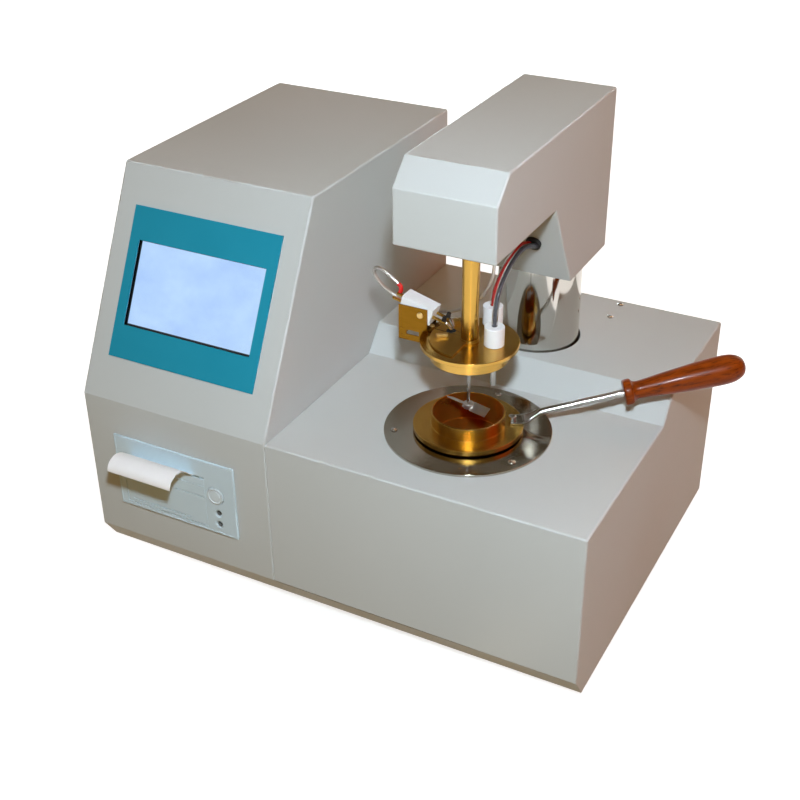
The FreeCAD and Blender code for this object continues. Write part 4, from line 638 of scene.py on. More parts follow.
# %% [markdown]
# The tones are those of the real stuff in plain light: a light warm grey enamel, a teal printed overlay,
# yellow brass, bright chrome, reddish varnished wood and white fluoroplastic.

# %% Surfaces
surface("paint", (194, 198, 196), (202, 205, 203), (0.4, 0.48), 9, bump=0.1, grain=1400, specular=0.06)
surface("rubber", (26, 26, 27), (38, 38, 39), (0.6, 0.75), 150, bump=0.2)
surface("overlay", (28, 140, 166), (34, 148, 174), (0.4, 0.5), 30, bump=0.05, grain=3000, specular=0.15)
surface("display", (14, 15, 17), (22, 23, 26), (0.3, 0.4), 60)
surface("printer_plastic", (198, 216, 224), (206, 223, 231), (0.45, 0.55), 40, bump=0.06, grain=2200,
        specular=0.12)
surface("button_plastic", (200, 212, 216), (206, 217, 221), (0.35, 0.42), 60)
surface("lamp", (30, 34, 34), (44, 50, 50), (0.12, 0.2), 300, coat=0.5)
surface("paper", (250, 250, 252), (254, 254, 254), (0.7, 0.8), 120, bump=0.05)
surface("board", (20, 84, 50), (28, 98, 60), (0.4, 0.5), 60)
surface("supply", (150, 152, 150), (176, 178, 175), (0.35, 0.5), 60, metallic=1.0)
surface("polished_plate", (172, 165, 154), (192, 185, 174), (0.05, 0.1), 25, metallic=1.0, axis=TEST_AXIS,
        lathe=0.22)
surface("brass", (186, 144, 66), (208, 168, 88), (0.18, 0.26), 45, metallic=1.0, axis=TEST_AXIS, lathe=0.5)
surface("brass_tube", (184, 142, 62), (206, 166, 84), (0.18, 0.26), 45, metallic=1.0, axis=TEST_AXIS,
        lathe=0.4)
surface("brass_disc", (182, 140, 62), (202, 162, 80), (0.3, 0.4), 45, metallic=1.0, axis=TEST_AXIS, lathe=0.3)
surface("brass_inside", (196, 122, 38), (218, 146, 56), (0.26, 0.36), 60, metallic=0.9, axis=TEST_AXIS,
        lathe=0.4)
surface("brass_bar", (228, 194, 122), (242, 210, 144), (0.38, 0.48), 200, metallic=1.0)
surface("brass_sheet", (120, 82, 16), (148, 106, 30), (0.26, 0.42), 90, stretch=(1, 1, 5), metallic=1.0,
        bump=0.08, detail=7)
# Painted shade: near black for the bore of the port, the hole through lid and shutter.
surface("soot", (14, 12, 11), (30, 27, 25), (0.7, 0.9), 300)
surface("well_metal", (120, 118, 112), (150, 147, 140), (0.35, 0.5), 50, metallic=1.0)
surface("heater", (150, 140, 128), (176, 166, 152), (0.4, 0.55), 80, metallic=0.8)
surface("wool", (196, 190, 172), (224, 218, 200), (0.9, 1.0), 200, bump=0.8, grain=900)
surface("steel", (150, 150, 148), (182, 182, 180), (0.3, 0.45), 60, metallic=1.0)
surface("bright_steel", (172, 170, 166), (196, 194, 190), (0.16, 0.24), 90, metallic=1.0)
surface("satin_steel", (214, 210, 204), (236, 232, 226), (0.28, 0.36), 260, metallic=1.0)
surface("screw_steel", (196, 194, 190), (220, 218, 214), (0.16, 0.28), 120, metallic=1.0)
surface("chrome", (196, 192, 184), (206, 202, 194), (0.05, 0.1), 30, stretch=(1, 1, 0.1), metallic=1.0)
surface("alloy", (168, 170, 172), (196, 198, 200), (0.3, 0.45), 70, metallic=1.0)
surface("motor", (40, 41, 43), (58, 59, 62), (0.45, 0.6), 70, metallic=0.3)
surface("black_plastic", (20, 20, 22), (32, 32, 34), (0.38, 0.5), 120, bump=0.1)
surface("rocker_plastic", (18, 18, 20), (30, 30, 32), (0.25, 0.35), 120)
surface("white_block", (236, 240, 244), (246, 248, 250), (0.4, 0.5), 120, bump=0.08)
surface("dark_lead", (58, 60, 68), (86, 88, 96), (0.4, 0.5), 300)
surface("red_lead", (206, 20, 16), (226, 36, 28), (0.35, 0.45), 300)
surface("braided_lead", (184, 180, 174), (212, 209, 204), (0.3, 0.38), 300, metallic=1.0)
print("surfaces:", len(MATERIALS))

# %% [markdown]
# Clear things let light through: the pane over the display and the sheaths of two leads. The grip's wood
# has fibres that run along the handle, which points to the back right and rises a little. Its pattern is
# turned to lie along the grip and drawn out to fibres 30 mm long and 4 mm thick. A second, finer noise
# adds dark pores where it is strong.

# %% Clear and grained surfaces
GRIP_AZIMUTH = math.radians(30)
GRIP_RISE = math.radians(13.5)
FIBRE = (0.03, 0.0042, 0.0042)


def clear(name, tint, rough, bending):
    """A see-through surface that bends light by the given index."""
    shader = node_of(surface(name, tint, (255, 255, 255), rough, 200), "BSDF_PRINCIPLED")
    shader.inputs["Transmission Weight"].default_value = 1.0
    shader.inputs["IOR"].default_value = bending


clear("glass", (240, 246, 250), (0.02, 0.05), 1.1)
clear("clear_lead", (214, 217, 222), (0.1, 0.16), 1.25)
wood = surface("wood", (84, 28, 1), (168, 74, 7), (0.28, 0.4), 1.0, detail=8, coat=0.06, specular=0.12)
fibres = node_of(wood, "MAPPING")
fibres.vector_type = "TEXTURE"
fibres.inputs["Rotation"].default_value = (0, -GRIP_RISE, GRIP_AZIMUTH)
fibres.inputs["Scale"].default_value = FIBRE
tree, tones = wood.node_tree, node_of(wood, "MIX")
pores = node(tree, "TexNoise", Scale=3.6, Detail=7)
strength = node(tree, "MapRange", From_Min=0.5, From_Max=0.72, To_Max=0.85)
darker = colour_mix(tree, tone(84, 28, 1), tone(44, 12, 3))
tree.links.new(fibres.outputs["Vector"], pores.inputs["Vector"])
tree.links.new(pores.outputs["Fac"], strength.inputs["Value"])
tree.links.new(strength.outputs["Result"], darker.inputs["Factor"])
tree.links.new(tones.outputs["Result"], darker.inputs["A"])
tree.links.new(darker.outputs["Result"], node_of(wood, "BSDF_PRINCIPLED").inputs["Base Color"])
print("surfaces with the clear and grained ones:", len(MATERIALS))

# %% [markdown]
# ## Sheet and hidden pieces
#
# The covers are folded steel sheet with flat faces and small bends, and the pieces inside are mostly
# hidden. Their CAD shapes are good enough, and to draw them again would only add mistakes. So each gets a
# copy whose loose triangles are joined, which lets light run smoothly round the bends.

# %% Pieces carried over from the CAD
CARRIED = [
    "base_pan", "console_shell", "base_cover", "rear_panels", "power_entry", "power_rocker", "fan_frame",
    "fan_rotor", "screen_panel", "screen_glass", "printer_body", "paper_roll", "paper_strip",
    "control_board", "power_supply", "bath_well", "heater_band", "bath_wool", "bath_stand",
    "lift_carriage", "lift_frame", "lift_screw", "lift_motor", "arm_cover", "arm_frame", "stirrer_motor",
    "shutter_drive", "shutter_sleeve",
]
for piece in CARRIED:
    source = frame["nodes"][piece]
    bm = bmesh.new()
    bm.from_mesh(source.data)
    bmesh.ops.remove_doubles(bm, verts=bm.verts, dist=2e-6)
    bmesh.ops.dissolve_degenerate(bm, edges=bm.edges, dist=1e-6)
    bmesh.ops.transform(bm, matrix=TO_FRAME.inverted(), verts=bm.verts)
    finished(piece + "_shape", bm, source["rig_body"], piece, crease=24)
print("carried over:", len(CARRIED))

# %% [markdown]
# ## The cup and its seat
#
# The cup is turned from one bar of brass. Its flange hangs on a polished plate, its thin collar fits
# under the lid, and a small ledge inside marks how far to fill it. All three round pieces of this step
# could be put together from pipes and discs, but one profile spun on a lathe has the ledge, the collar
# and the broken edges in one skin, as the real ones have.

# %% Cup, plate and column
cup = turned([
    (0, 106.2), (27.4, 106.2), (27.4, 151.3), (39.5, 151.3), (39.5, FLANGE_TOP), (26.5, FLANGE_TOP),
    (26.5, 164.5), (25.4, 164.5), (25.4, 142.8), (25, 142.8), (25, 108.6), (0, 108.6),
], 0.35, 144)
brass_cup = finished("brass_cup", put(cup, *TEST_AXIS), "cup", "cup")
plate = ring(34.3, 60.5, PLATE_TOP - 2, PLATE_TOP, 0.4, 160)
finished("polished_ring", put(plate, *TEST_AXIS), "housing", "bath_plate")
sleeve = ring(30.5, 32, 108, 306, 0.2, 160)
finished("chrome_sleeve", put(sleeve, *COLUMN_AXIS), "head", "column_cover")

# %% [markdown]
# Small screws with domed heads hold the plate and the rear deck. Each has a cross recess for the driver,
# cut out of its lathe profile by two crossed blocks. No two stand at the same angle, as no one lines up
# screws by hand.

# %% Screws of the housing
DECK_TOP = 168


def screw_piece(x, y, z, degrees):
    """A domed screw with its cross, turned by some degrees."""
    blank = turned([(0, -4.9), (1.15, -4.9), (1.15, 0), (2.6, 0), (2.5, 0.55), (1.9, 1.05), (0.9, 1.35),
                    (0, 1.4)], 0.12, 32)
    slots = [block((-1.3, -0.22, 0.75), (1.3, 0.22, 3), 0), block((-0.22, -1.3, 0.75), (0.22, 1.3, 3), 0)]
    return put(drilled(blank, *slots), x, y, z, about_z(degrees))


screws = [screw_piece(*round_cup(53, azimuth), PLATE_TOP, degrees)
          for azimuth, degrees in ((-30, 17), (90, 67), (210, 117))]
screws += [screw_piece(324.5, y, DECK_TOP, degrees) for y, degrees in ((260, 35), (284, 58))]
finished("housing_screws", together(*screws), "housing", "cover_screws")

# %% [markdown]
# ## The cup's handle
#
# A chromed rod carries a wooden grip. Its near end is pressed flat into a strap, which one screw holds on
# the cup's flange, and it rises a little, away from the hot plate. A bent pipe would stay round at its
# end, so the rod is pushed out of a ring of points instead, one station at a time, from the flat strap to
# the round bar.

# %% Handle
HANDLE = Matrix.Translation((TEST_AXIS.x, TEST_AXIS.y, 0)) @ Matrix.Rotation(GRIP_AZIMUTH, 4, "Z")
STRAP_REACH = 34.75
STRAP_TOP = FLANGE_TOP + 1.5
ROD_BASE = 157.6
GRIP_START = 78


def pushed(stations, sides=40):
    """Pushes a ring along stations of (x, z, half width, half height, squareness)."""
    bm = bmesh.new()
    rim = bmesh.ops.create_circle(bm, segments=sides, radius=1, cap_ends=True)["verts"]
    angles = [math.atan2(v.co.y, v.co.x) for v in rim]

    def lay(verts, station):
        x, z, wide, high, square = station
        power = 1 - 0.75 * square
        for vert, angle in zip(verts, angles):
            c, s = math.cos(angle), math.sin(angle)
            vert.co = (x, wide * math.copysign(abs(c) ** power, c),
                       z + high * math.copysign(abs(s) ** power, s))

    lay(rim, stations[0])
    for station in stations[1:]:
        edges = [e for e in bm.edges if e.verts[0] in rim and e.verts[1] in rim]
        made = bmesh.ops.extrude_edge_only(bm, edges=edges)["geom"]
        fresh = {v for v in made if isinstance(v, bmesh.types.BMVert)}
        rim = [next(e.other_vert(vert) for e in vert.link_edges if e.other_vert(vert) in fresh)
               for vert in rim]
        lay(rim, station)
    bm.faces.new(rim)
    return bm


def rod_z(x):
    """The height of the rod's middle."""
    return ROD_BASE + x * math.tan(GRIP_RISE)


stations = [(-4.75, 155.75, 6.5, 0.74, 1), (-4.6, 155.75, 6.5, 0.75, 1), (3.2, 155.75, 6.5, 0.75, 1),
            (5, 155.85, 6.3, 0.85, 0.9), (7, 156.3, 5.6, 1.05, 0.7), (9, 157.2, 4.7, 1.45, 0.5),
            (11, 158.5, 3.9, 1.85, 0.3), (13.5, 160, 3.15, 2.25, 0.15), (16, rod_z(16), 2.6, 2.6, 0),
            (20, rod_z(20), 2.6, 2.6, 0), (76, rod_z(76), 2.6, 2.6, 0), (82, rod_z(82), 2.6, 2.6, 0)]
rod = drilled(pushed(stations), put(pin(1.3, 150, 160, 0), -3))
finished("chromed_rod", put(rod, turn=HANDLE @ Matrix.Translation((STRAP_REACH, 0, 0))), "cup", "handle_rod",
         look="bright_steel")

# %% [markdown]
# The grip is turned on a lathe, with a bead at its foot and a long swell to its round end. Straight runs
# between the measured points would leave facets, so a smooth line is laid through them first.

# %% Grip and screw
GRIP = [
    (2.62, 0), (8.7, 0), (9.4, 0.8), (9.4, 4.6), (8.9, 5.6), (7.4, 6.6), (6.6, 8), (6.35, 10), (6.7, 15),
    (7.5, 23), (8.4, 33), (9.3, 44), (9.95, 55), (10.35, 65), (10.4, 71), (10.1, 75.4), (9.3, 79),
    (7.9, 82.2), (5.9, 84.6), (3.1, 86), (0, 86.4), (0, 60), (2.62, 60),
]


def smoothed(points, first, last, parts=4):
    """Puts extra points on a smooth line between two places of a profile."""
    line = [Vector(p) for p in points]
    result = line[:first]
    for i in range(first, last):
        a, b, c, d = line[max(i - 1, first)], line[i], line[i + 1], line[min(i + 2, last)]
        for step in range(parts):
            t = step / parts
            result.append(0.5 * (2 * b + (c - a) * t + (2 * a - 5 * b + 4 * c - d) * t * t
                                 + (3 * b - a - 3 * c + d) * t ** 3))
    return result + line[last:]


grip = turned([tuple(p) for p in smoothed(GRIP, 4, 20)], 0, 72, closed=True)
lying = HANDLE @ Matrix.Translation((STRAP_REACH + GRIP_START * math.cos(GRIP_RISE), 0,
                                     ROD_BASE + GRIP_START * math.sin(GRIP_RISE)))
finished("wooden_grip", put(grip, turn=lying @ Matrix.Rotation(-GRIP_RISE, 4, "Y") @ ALONG_X), "cup",
         "cup_handle", crease=50)
head = drilled(turned([(0, -1.25), (1.15, -1.25), (1.15, 0), (2.75, 0), (2.75, 2.6), (0, 2.6)], 0.35, 40),
               pin(1.3, 1.2, 3, 0, 6))
finished("strap_screw", put(head, turn=HANDLE @ Matrix.Translation((STRAP_REACH - 3, 0, STRAP_TOP))), "cup",
         "handle_screw")

# %% [markdown]
# ## The lid
#
# The lid is a brass disc with a skirt below that goes over the cup's collar. Through it pass the stirrer
# and the probe, and one port lets the igniter in. A brass tube holds the lid under the arm, and its foot
# is open at one side, where the shutter's pin passes. The disc is spun and then drilled, as in a real
# workshop, and the foot is a profile spun less than a full turn.

# %% Lid and tube
PORT = round_cup(17, 165)
PROBE = (TEST_AXIS.x + 17.7, TEST_AXIS.y + 1.5)
DETECTOR = (TEST_AXIS.x + 6.5, TEST_AXIS.y + 23.5)
BOSS_TOP = LID_TOP + 3.5


def port_drill():
    """What cuts the port, in the lid and in the shutter."""
    return put(pin(3.4, 205, 230, 0, 48), *PORT)


disc = put(turned([
    (0, 218.6), (26.9, 218.6), (26.9, 209.1), (28, 209.1), (28, 218.6), (34.7, 218.6), (34.7, LID_TOP),
    (0, LID_TOP),
], 0.35, 144), *TEST_AXIS)
holes = [put(pin(1.25, 205, 230, 0), *TEST_AXIS), port_drill(), put(pin(2.05, 205, 230, 0), *PROBE)]
boss = put(pin(6, LID_TOP - 0.5, BOSS_TOP, 0.3, 56), *DETECTOR)
lid = finished("brass_lid", drilled(drilled(disc, *holes), boss, fill=True), "head", "lid")
foot = ring(4.7, 5.3, LID_TOP, LID_TOP + 0.4, 0, 72)
guide = put(ring(4.7, 5.3, LID_TOP + 0.4, LID_TOP + 1.8, 0, 62, arc=306), turn=about_z(312))
pipe = turned([(4.7, LID_TOP + 1.8), (5.3, LID_TOP + 1.8), (5.3, LID_TOP + 2.2), (6.1, LID_TOP + 2.2),
               (6.1, 309), (4.7, 309)], 0.15, 96, closed=True)
finished("brass_tube", put(together(foot, guide, pipe), *TEST_AXIS), "head", "lid_tube", look="brass_tube")

# %% [markdown]
# The shutter is a flat sector that turns on the tube's foot. A drive inside the arm turns it through a
# pin, its hole comes over the port in the lid, and its catch tips the igniter at the same moment. Spun
# through 140 degrees, one short profile gives the plate its round rim and its two straight ends.

# %% Shutter
sector = ring(5.35, 28, LID_TOP, LID_TOP + 1.2, 0.15, 90, arc=140)
sector = drilled(put(sector, *TEST_AXIS, about_z(130)), port_drill())
hub = put(ring(5.35, 6.8, LID_TOP, LID_TOP + 2, 0.15, 72), *TEST_AXIS)
catch = put(block((21.5, -2, LID_TOP + 1.2), (25.5, 2, LID_TOP + 4.2), 0.3), *TEST_AXIS, about_z(138))
shutter = finished("brass_shutter", together(sector, hub, catch), "shutter", "shutter", look="brass_disc")
lug = block((-4.15, -1.5, 0), (4.15, 1.5, 2.4), 0.35, 3)
put(lug, *round_cup(19.3, 200), LID_TOP + 1.2, about_z(37))
finished("brass_lug", lug, "shutter", "shutter_lug", look="brass_bar")

# %% [markdown]
# The stirrer has two tilted blades on a small hub, held to the shaft by a grub screw. Each blade is a
# thin block whose two outer corners are rounded by a bevel on their short upright edges, since that keeps
# the faces flat. Beside the stirrer hangs the temperature probe, and white caps of fluoroplastic hold the
# leads above the lid.

# %% Stirrer, probe and caps
BLADE_LEVEL = 169.2
BLADE_END = 16.98
low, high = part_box("stirrer_shaft")
finished("stirrer_rod", put(pin(1.2, low.z * 1000, high.z * 1000, 0.3), *TEST_AXIS), "stirrer",
         "stirrer_shaft", look="bright_steel")
hub = ring(1.2, 3.9, 167.4, 171, 0.35, 56)
parts = [put(hub, *TEST_AXIS)]
for azimuth in (-14, 166):
    blade = block((3.15, -3.9, -0.4), (BLADE_END, 3.9, 0.4), 0.12)
    corners = [e for e in blade.edges if e.calc_length() < 0.9 and all(v.co.x > 15 for v in e.verts)
               and abs(e.verts[0].co.z - e.verts[1].co.z) > 0.4]
    bmesh.ops.bevel(blade, geom=corners, offset=1.6, segments=5, profile=0.5, affect="EDGES", material=-1)
    turn = about_z(azimuth) @ Matrix.Rotation(math.radians(30), 4, "X")
    parts.append(put(blade, TEST_AXIS.x, TEST_AXIS.y, BLADE_LEVEL, turn))
grub = drilled(pin(1, 2.4, 4.7, 0.15, 28), put(pin(0.45, 4, 6, 0, 6)))
parts.append(put(grub, TEST_AXIS.x, TEST_AXIS.y, BLADE_LEVEL, about_z(226) @ ALONG_X))
finished("stirrer_paddles", together(*parts), "stirrer", "stirrer_blades", look="satin_steel")
probe = turned([(0, 189), (2, 189), (2, 227.6), (0, 227.6)], 0.9, 48, bends=5)
finished("probe_rod", put(probe, *PROBE), "head", "temperature_probe", look="bright_steel")
for name, (x, y), z in (("probe_cap", PROBE, LID_TOP), ("detector_cap", DETECTOR, BOSS_TOP)):
    top = z + 14.2
    cap = turned([(0, z), (7.05, z), (7.05, top), (3, top), (2.6, z + 13.9), (0, z + 13.9)], 0.5, 72)
    if name == "probe_cap":
        cap = drilled(cap, pin(2.05, z - 3, z + 6, 0))
    finished("white_" + name, put(cap, x, y), "head", name)

# %% [markdown]
# ## The igniter
#
# A bent brass bracket sits on the lid's rim, and a white block tilts between its cheeks on two short
# screws. The real bracket is cut from sheet and folded. Its bends are sharp, so four thin plates that
# meet at the folds give the same look, and each cheek gets its slot and holes on its own.

# %% Igniter bracket
BRACKET = Vector((228.4, 81.2, 211.5))
PIVOT = Vector((245.5, 0, 233.1))
IGNITER_Y = 88.75


def cheek(y):
    """One side of the bracket, with its slot, its pivot hole and the corner cut for the lid's rim."""
    plate = block(BRACKET + Vector((0, y, 0)), BRACKET + Vector((22.4, y + 1, 26.7)), 0.15)
    slot = block(BRACKET + Vector((6, y - 3, 4.6)), BRACKET + Vector((16, y + 4, 8.1)), 0)
    corner = block(BRACKET + Vector((18.9, y - 3, -9)), BRACKET + Vector((33, y + 4, 10.1)), 0)
    hole = put(pin(1.5, 0, 10, 0), *(PIVOT + Vector((0, BRACKET.y + y - 3, 0))), ALONG_Y)
    return drilled(plate, slot, corner, hole)


web = block(BRACKET + Vector((0, 0.9, 0)), BRACKET + Vector((1, 14.2, 11.1)), 0.15)
tab = block(BRACKET + Vector((0, 0.9, 10.1)), BRACKET + Vector((25.2, 14.2, 11.1)), 0.15)
finished("brass_bracket", together(cheek(0), cheek(14.1), web, tab), "head", "igniter_bracket")
pivots = []
for y, turn in ((BRACKET.y, about_z(180)), (BRACKET.y + 15.1, Matrix())):
    pivot = turned([(0, -2.8), (1.45, -2.8), (1.45, 0), (2.4, 0), (2.4, 0.7), (1.8, 1), (0, 1)], 0.12, 36)
    pivot = drilled(pivot, block((-3, -0.3, 0.55), (3, 0.3, 3), 0))
    pivots.append(put(put(pivot, turn=ALONG_Y @ Matrix.Rotation(0.6, 4, "Z")), PIVOT.x, y, PIVOT.z, turn))
tie = turned([(0, 0), (1.95, 0), (1.95, 0.7), (1.5, 1), (0, 1)], 0.12, 36)
tie = drilled(tie, block((-3, -0.3, 0.5), (3, 0.3, 3), 0))
pivots.append(put(tie, BRACKET.x + 22.6, IGNITER_Y, LID_TOP + 1, Matrix.Rotation(0.9, 4, "Z")))
finished("bracket_screw_heads", together(*pivots), "head", "bracket_screws", look="brass_bar")

# %% [markdown]
# Two brass rods run through the white block. Each carries a silver tip, held by a small black clamp, and
# a fine wire bows down between the tips and glows. Rods and clamps are made upright on the lathe, laid
# along the block and then tilted with it, which keeps them square to each other.

# %% Igniter block, rods and tips
TILTED = Matrix.Translation((PIVOT.x, IGNITER_Y, PIVOT.z)) @ Matrix.Rotation(math.radians(15), 4, "Y")
ROD_SIDE, ROD_RISE, ROD_END = 3.4, 0.9, 18.8
TIP_X, TIP_Z = 267, 224.5
WIRE_SAG = 0.9
body = put(block((-17.2, -6.25, -5.6), (7.8, 6.25, 7.3), 0.5, 3), turn=TILTED)
seats = [put(pin(1.5, low, high, 0), turn=TILTED @ ALONG_Y) for low, high in ((-6.3, -4.8), (4.8, 6.3))]
finished("white_igniter_block", drilled(body, *seats), "igniter", "igniter_block")
rods, tips, clamps = [], [], []
for side in (-1, 1):
    rods.append(put(put(pin(1.1, -24.7, ROD_END, 0.2), turn=ALONG_X), 0, side * ROD_SIDE, ROD_RISE))
    put(rods[-1], turn=TILTED)
    start = TILTED @ Vector((ROD_END, side * ROD_SIDE, ROD_RISE))
    run = Vector((TIP_X, IGNITER_Y + side * 1.9, TIP_Z)) - start
    tip = turned([(0, -1.3), (0.9, -0.95), (1.3, 0), (0.95, run.length - 0.4), (0.6, run.length),
                  (0, run.length)], 0.1, 32)
    tips.append(put(tip, *start, run.to_track_quat("Z", "Y").to_matrix().to_4x4()))
    clamp = turned([(0, 0.9), (1.25, 0.9), (1.7, 1.3), (1.7, 2.5), (1.1, 2.8), (1.1, 3.2), (1.6, 3.5),
                    (1.6, 4.3), (0, 4.3)], 0.12, 32)
    clamps.append(put(clamp, turn=TILTED @ Matrix.Translation((16.3, side * ROD_SIDE, 1.1))))
finished("brass_igniter_rods", together(*rods), "igniter", "igniter_rods")
finished("silver_tips", together(*tips), "igniter", "igniter_tips")
finished("black_clamps", together(*clamps), "igniter", "igniter_clamps")
ends = [Vector((TIP_X, IGNITER_Y + side * 1.7, TIP_Z + 0.1)) for side in (-1, 1)]
bow = [spot(*(ends[0].lerp(ends[1], step / 12) - Vector((0, 0, WIRE_SAG * math.sin(math.pi * step / 12)))))
       for step in range(13)]
wire = tube_along(bow, 0.00016, "glow_wire", 8)
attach(wire, "igniter")
dressed(wire, SLOTS["igniter_tips"])
print("glowing wire: %.1f mm" % (run_of(bow) * 1000))

# %% [markdown]
# ## The printer
#
# The printer's moulded front has a raised rim round a flat field. A small door covers the paper roll, with
# a notch for a fingertip, and beside it are the feed button and two lamps. A mould leaves even walls and
# soft edges, so the front is a block with eased edges that is cut out step by step, and the thin lines of
# the door are shallow cuts too, since a bump in the surface would have no shadow of its own.

# %% Printer front
BUTTON_X, BUTTON_Z = 116.5, 90.3
LAMPS_X, LAMPS_Z = 118, (64.7, 74.7)
HINGE_Y, HINGE_Z = -0.4, 61.1
NOTCH_X, NOTCH_Z = 69.5, 85.9
TO_FRONT = about_z(180) @ ALONG_Y


def dimple(z):
    """What cuts a lamp's round hole, with a wide countersink."""
    profile = [(0, -9), (3.7, -9), (3.7, 0), (2.25, 1.1), (2.25, 9), (0, 9)]
    return put(turned(profile, 0, 48), LAMPS_X, -1.75, z, ALONG_Y)


def hinge_pin(radius, low, high, ease):
    """A pin that lies along the door's hinge."""
    return put(pin(radius, low, high, ease), 0, HINGE_Y, HINGE_Z, ALONG_X)


outer = block((25, -2.1, 55.7), (134.5, 0, 119), 0.9, 3)
field = block((26.6, -9, 57.3), (132.9, -1.75, 117.4), 0.3, 2)
tuck = block((28.3, -0.5, 59), (131.2, 5, 115.7), 0)
door_hole = block((31.7, -9, 59.6), (107.3, 9, 103.8), 0)
button_hole = put(pin(7.7, -9, 9, 0, 64), BUTTON_X, 0, BUTTON_Z, ALONG_Y)
front = drilled(drilled(outer, tuck, fill=True), field, door_hole, button_hole, dimple(LAMPS_Z[0]),
                dimple(LAMPS_Z[1]), hinge_pin(0.85, 30.3, 108.7, 0))
finished("printer_front", front, "housing", "printer_bezel")

# %% [markdown]
# The door is a thin leaf on a hinge pin along its foot. Its notch is half a round pocket, made by cutting
# the upper half off a short cylinder before that cylinder cuts the leaf.

# %% Printer door
leaf = block((32, -1.6, 59.9), (107, 0.8, 101.9), 0.5, 3)
notch = put(pin(8, -1.3, 0, 0, 64), NOTCH_X, -1.7, NOTCH_Z, ALONG_Y)
half = drilled(notch, block((50, -9, NOTCH_Z), (90, 9, 120), 0))
LINES = (
    # left, right, low, high and how deep each one reaches
    (32.5, 61.2, 85.3, 86.2, -0.85), (77.8, 106.5, 85.3, 86.2, -0.85),
    (37, 92, 62.8, 63.9, -0.85), (32.5, 106.5, 95.2, 95.9, -0.95),
)
lines = [block((left, -2.6, low), (right, deep, high), 0) for left, right, low, high, deep in LINES]
leaf = together(drilled(leaf, half, *lines), hinge_pin(0.8, 30.5, 108.5, 0.1), hinge_pin(1.4, 37, 92, 0.4))
finished("paper_door", leaf, "printer_door", "printer_door")

# %% [markdown]
# The button has a raised ring round a sunken face, and each lamp is a small dome in its countersink. Both
# are lathe pieces, laid over to face the front.

# %% Button and lamps
button = turned([(0, -4), (7.1, -4), (7.1, 0.8), (6.5, 1.2), (5.8, 1.2), (5.4, 0.5), (4.9, 0.5), (4.4, 1),
                 (0, 1.15)], 0.2, 72)
finished("round_button", put(button, BUTTON_X, -1.6, BUTTON_Z, TO_FRONT), "feed_button", "feed_button")
LAMP_PROFILE = [(0, -6.6), (1.7, -6.6), (1.7, -1), (2.15, -1), (2.15, 0.1), (1.6, 0.5), (0.8, 0.75), (0, 0.8)]
lamps = [put(turned(LAMP_PROFILE, 0.1, 32), LAMPS_X, -0.9, z, TO_FRONT) for z in LAMPS_Z]
finished("small_lamps", together(*lamps), "housing", "printer_lamps")

# %% [markdown]
# ## The display
#
# Behind the pane lies the display module. It is black but for the lit part, which glows pale blue and
# patchy. A thin dark line shows at the left and below: partly the module's black edge, seen at a slant, and
# partly painted shade of the window's rim. The block is sliced along the edges of the lit part, so that
# this part has faces of its own and can take a second surface, with no picture laid over it.

# %% Display
SLOPE = Matrix(((1, 0, 0, 0), (0, 0.889885, 0.456184, 0), (0, -0.456184, 0.889885, 148), (0, 0, 0, 1)))
# Painted shade: the lit part is set so that a strip of the black module shows at the left and below, standing
# partly for shade of the window's rim.
LIT_LEFT, LIT_RIGHT, LIT_LOW, LIT_HIGH = 26.6, 137.2, 59.4, 121.6
FRONT_Y = 2.7
module = block((19.5, FRONT_Y, 52), (143.5, 9.7, 128), 0)
slices = [((x, 0, 0), (1, 0, 0)) for x in (LIT_LEFT, LIT_RIGHT)]
slices += [((0, 0, z), (0, 0, 1)) for z in (LIT_LOW, LIT_HIGH)]
for point, normal in slices:
    bmesh.ops.bisect_plane(module, geom=module.verts[:] + module.edges[:] + module.faces[:],
                           plane_co=point, plane_no=normal)
for face in module.faces:
    middle = face.calc_center_median()
    inside = LIT_LEFT < middle.x < LIT_RIGHT and LIT_LOW < middle.z < LIT_HIGH
    face.material_index = int(inside and middle.y < FRONT_Y + 0.1)
display = finished("display_module", put(module, turn=SLOPE), "housing", "lcd_module")
shine = surface("display_light", (152, 188, 250), (202, 232, 255), (0.3, 0.4), 34, stretch=(1, 1, 1.6),
                detail=7)
glowing(shine, 0.95, (0.02, 0.03, 0.05, 1))
print("display faces:", len(display.data.polygons))

# %% [markdown]
# ## Rubber
#
# A black rubber grommet keeps the two leads off the edge of the arm's sloping panel, and a small bush does
# the same for the thin lead. Four rubber feet stand under the base. All are round mouldings, so they are
# spun, and the grommet is leaned over to sit square on its panel.

# %% Rubber pieces
PANEL_RUN, PANEL_DROP = 37.5, 68.5
down = 39 / math.hypot(PANEL_RUN, PANEL_DROP)
brace = Matrix.Translation((298.5, 135.5 + down * PANEL_RUN, 304.5 - down * PANEL_DROP))
brace @= Matrix.Rotation(math.pi - math.atan2(PANEL_DROP, PANEL_RUN), 4, "X")
collar = turned([(0, -2.9), (4.6, -2.9), (4.6, 0), (5.7, 0), (5.7, 3), (4.3, 3), (3.9, 2.4),
                 (0, 2.4)], 0.3, 48)
bush = put(pin(3, 302.5, 304.5, 0.4, 32), 288.9, 108.3)
finished("rubber_grommet", together(put(collar, turn=brace), bush), "head", "cable_grommet")
feet = [put(turned([(0, 4), (4, 4), (4, 0), (10, 0), (11, 8), (0, 8)], 0.4, 48), x, y)
        for x in (36, 370) for y in (36, 255)]
finished("feet", together(*feet), "housing", "rubber_feet")

# %% [markdown]
# ## Dressing
#
# Each piece takes the surface of its material slot, or its own look. A few get a second one on some faces:
# the lit part of the display, painted shade in the port, whose bore is made near black, and a redder brass
# inside the cup, where light goes round a few times before it comes out. The faces are chosen by where
# they lie, once all cuts are made, because a cut gives a mesh new faces.

# %% Dress every piece
PORT_SHADE_REACH = 0.0036
INSIDE_REACH, INSIDE_FLOOR = 0.0258, 0.108


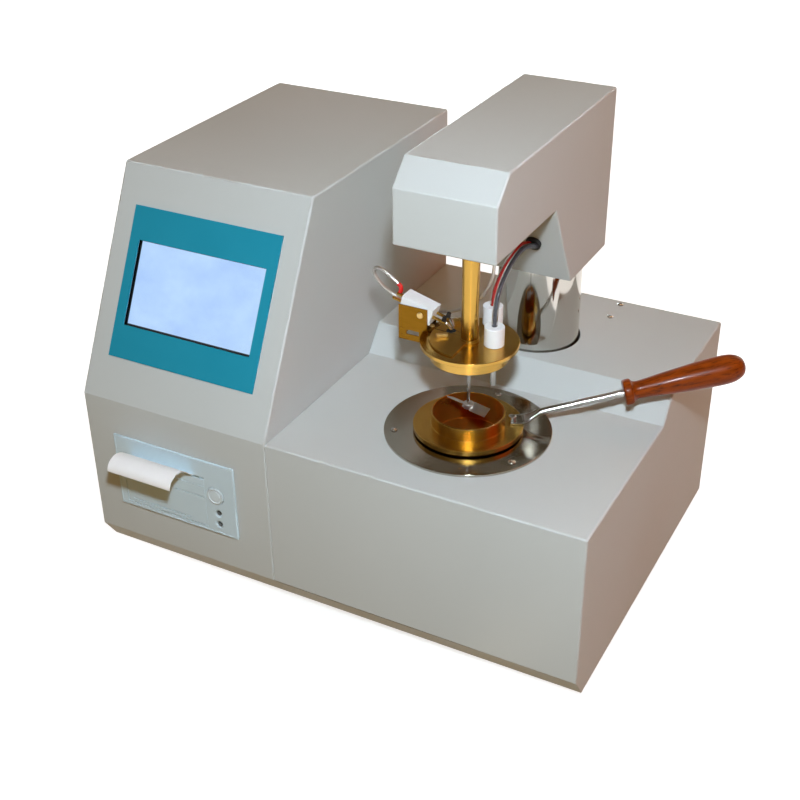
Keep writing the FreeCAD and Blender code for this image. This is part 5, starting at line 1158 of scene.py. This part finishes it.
def second_surface(thing, name, chosen):
    """Gives a piece a second surface, on the faces that are chosen by their middle."""
    thing.data.materials.append(MATERIALS[name])
    for face in thing.data.polygons:
        if chosen(face.center):
            face.material_index = 1


for thing in [o for o in bpy.data.objects if o.name in FINISHES]:
    thing.data.materials.append(MATERIALS[FINISHES[thing.name]])
display.data.materials.append(MATERIALS["display_light"])
port, axis = spot(*PORT, 0).xy, spot(*TEST_AXIS).xy
# Painted shade: faces close to the port's axis, its bore, are made near black.
for thing in (lid, shutter):
    second_surface(thing, "soot", lambda at: (at.xy - port).length < PORT_SHADE_REACH)
second_surface(brass_cup, "brass_inside",
               lambda at: (at.xy - axis).length < INSIDE_REACH and at.z > INSIDE_FLOOR)
print("dressed:", len(FINISHES))

# %% [markdown]
# The floor is near white, and in what the eye and the metals see it is lifted a little more, so that it
# reads as a plain white sheet with the shadow kept. The light that it throws back on the tester is that
# of a brown table, as in the photograph. The cards are not lit by anything: they only shine, dull or
# bright, so they look the same in every reflection.

# %% Dress the studio
floor_sheet = surface("floor_sheet", (166, 166, 166), (172, 172, 172), (0.8, 0.9), 4, specular=0)
tree = floor_sheet.node_tree
link = tree.links.new
reach = node(tree, "VectorMath")
reach.operation = "LENGTH"
fade = node(tree, "MapRange", From_Min=0.1, From_Max=0.3, To_Min=0.7, To_Max=1.0)
lift = node(tree, "Emission")
added = node(tree, "AddShader")
table = node(tree, "Emission", Color=(0.3, 0.19, 0.06, 1))
link(node_of(floor_sheet, "TEX_COORD").outputs["Object"], reach.inputs[0])
link(reach.outputs["Value"], fade.inputs["Value"])
link(fade.outputs["Result"], lift.inputs["Strength"])
link(node_of(floor_sheet, "BSDF_PRINCIPLED").outputs[0], added.inputs[0])
link(lift.outputs[0], added.inputs[1])
link(lit_or_seen(tree, table.outputs[0], added.outputs[0]),
     node_of(floor_sheet, "OUTPUT_MATERIAL").inputs["Surface"])
floor.data.materials.append(floor_sheet)
for name, strength, cards in (("dull_card", 1, dull_cards), ("bright_card", 24, bright_cards)):
    card_sheet = glowing(surface(name, (104, 96, 84), (112, 104, 92), (0.9, 1.0), 2), strength)
    for card in cards:
        card.data.materials.append(card_sheet)
print("studio sheets:", 1 + len(dull_cards) + len(bright_cards))
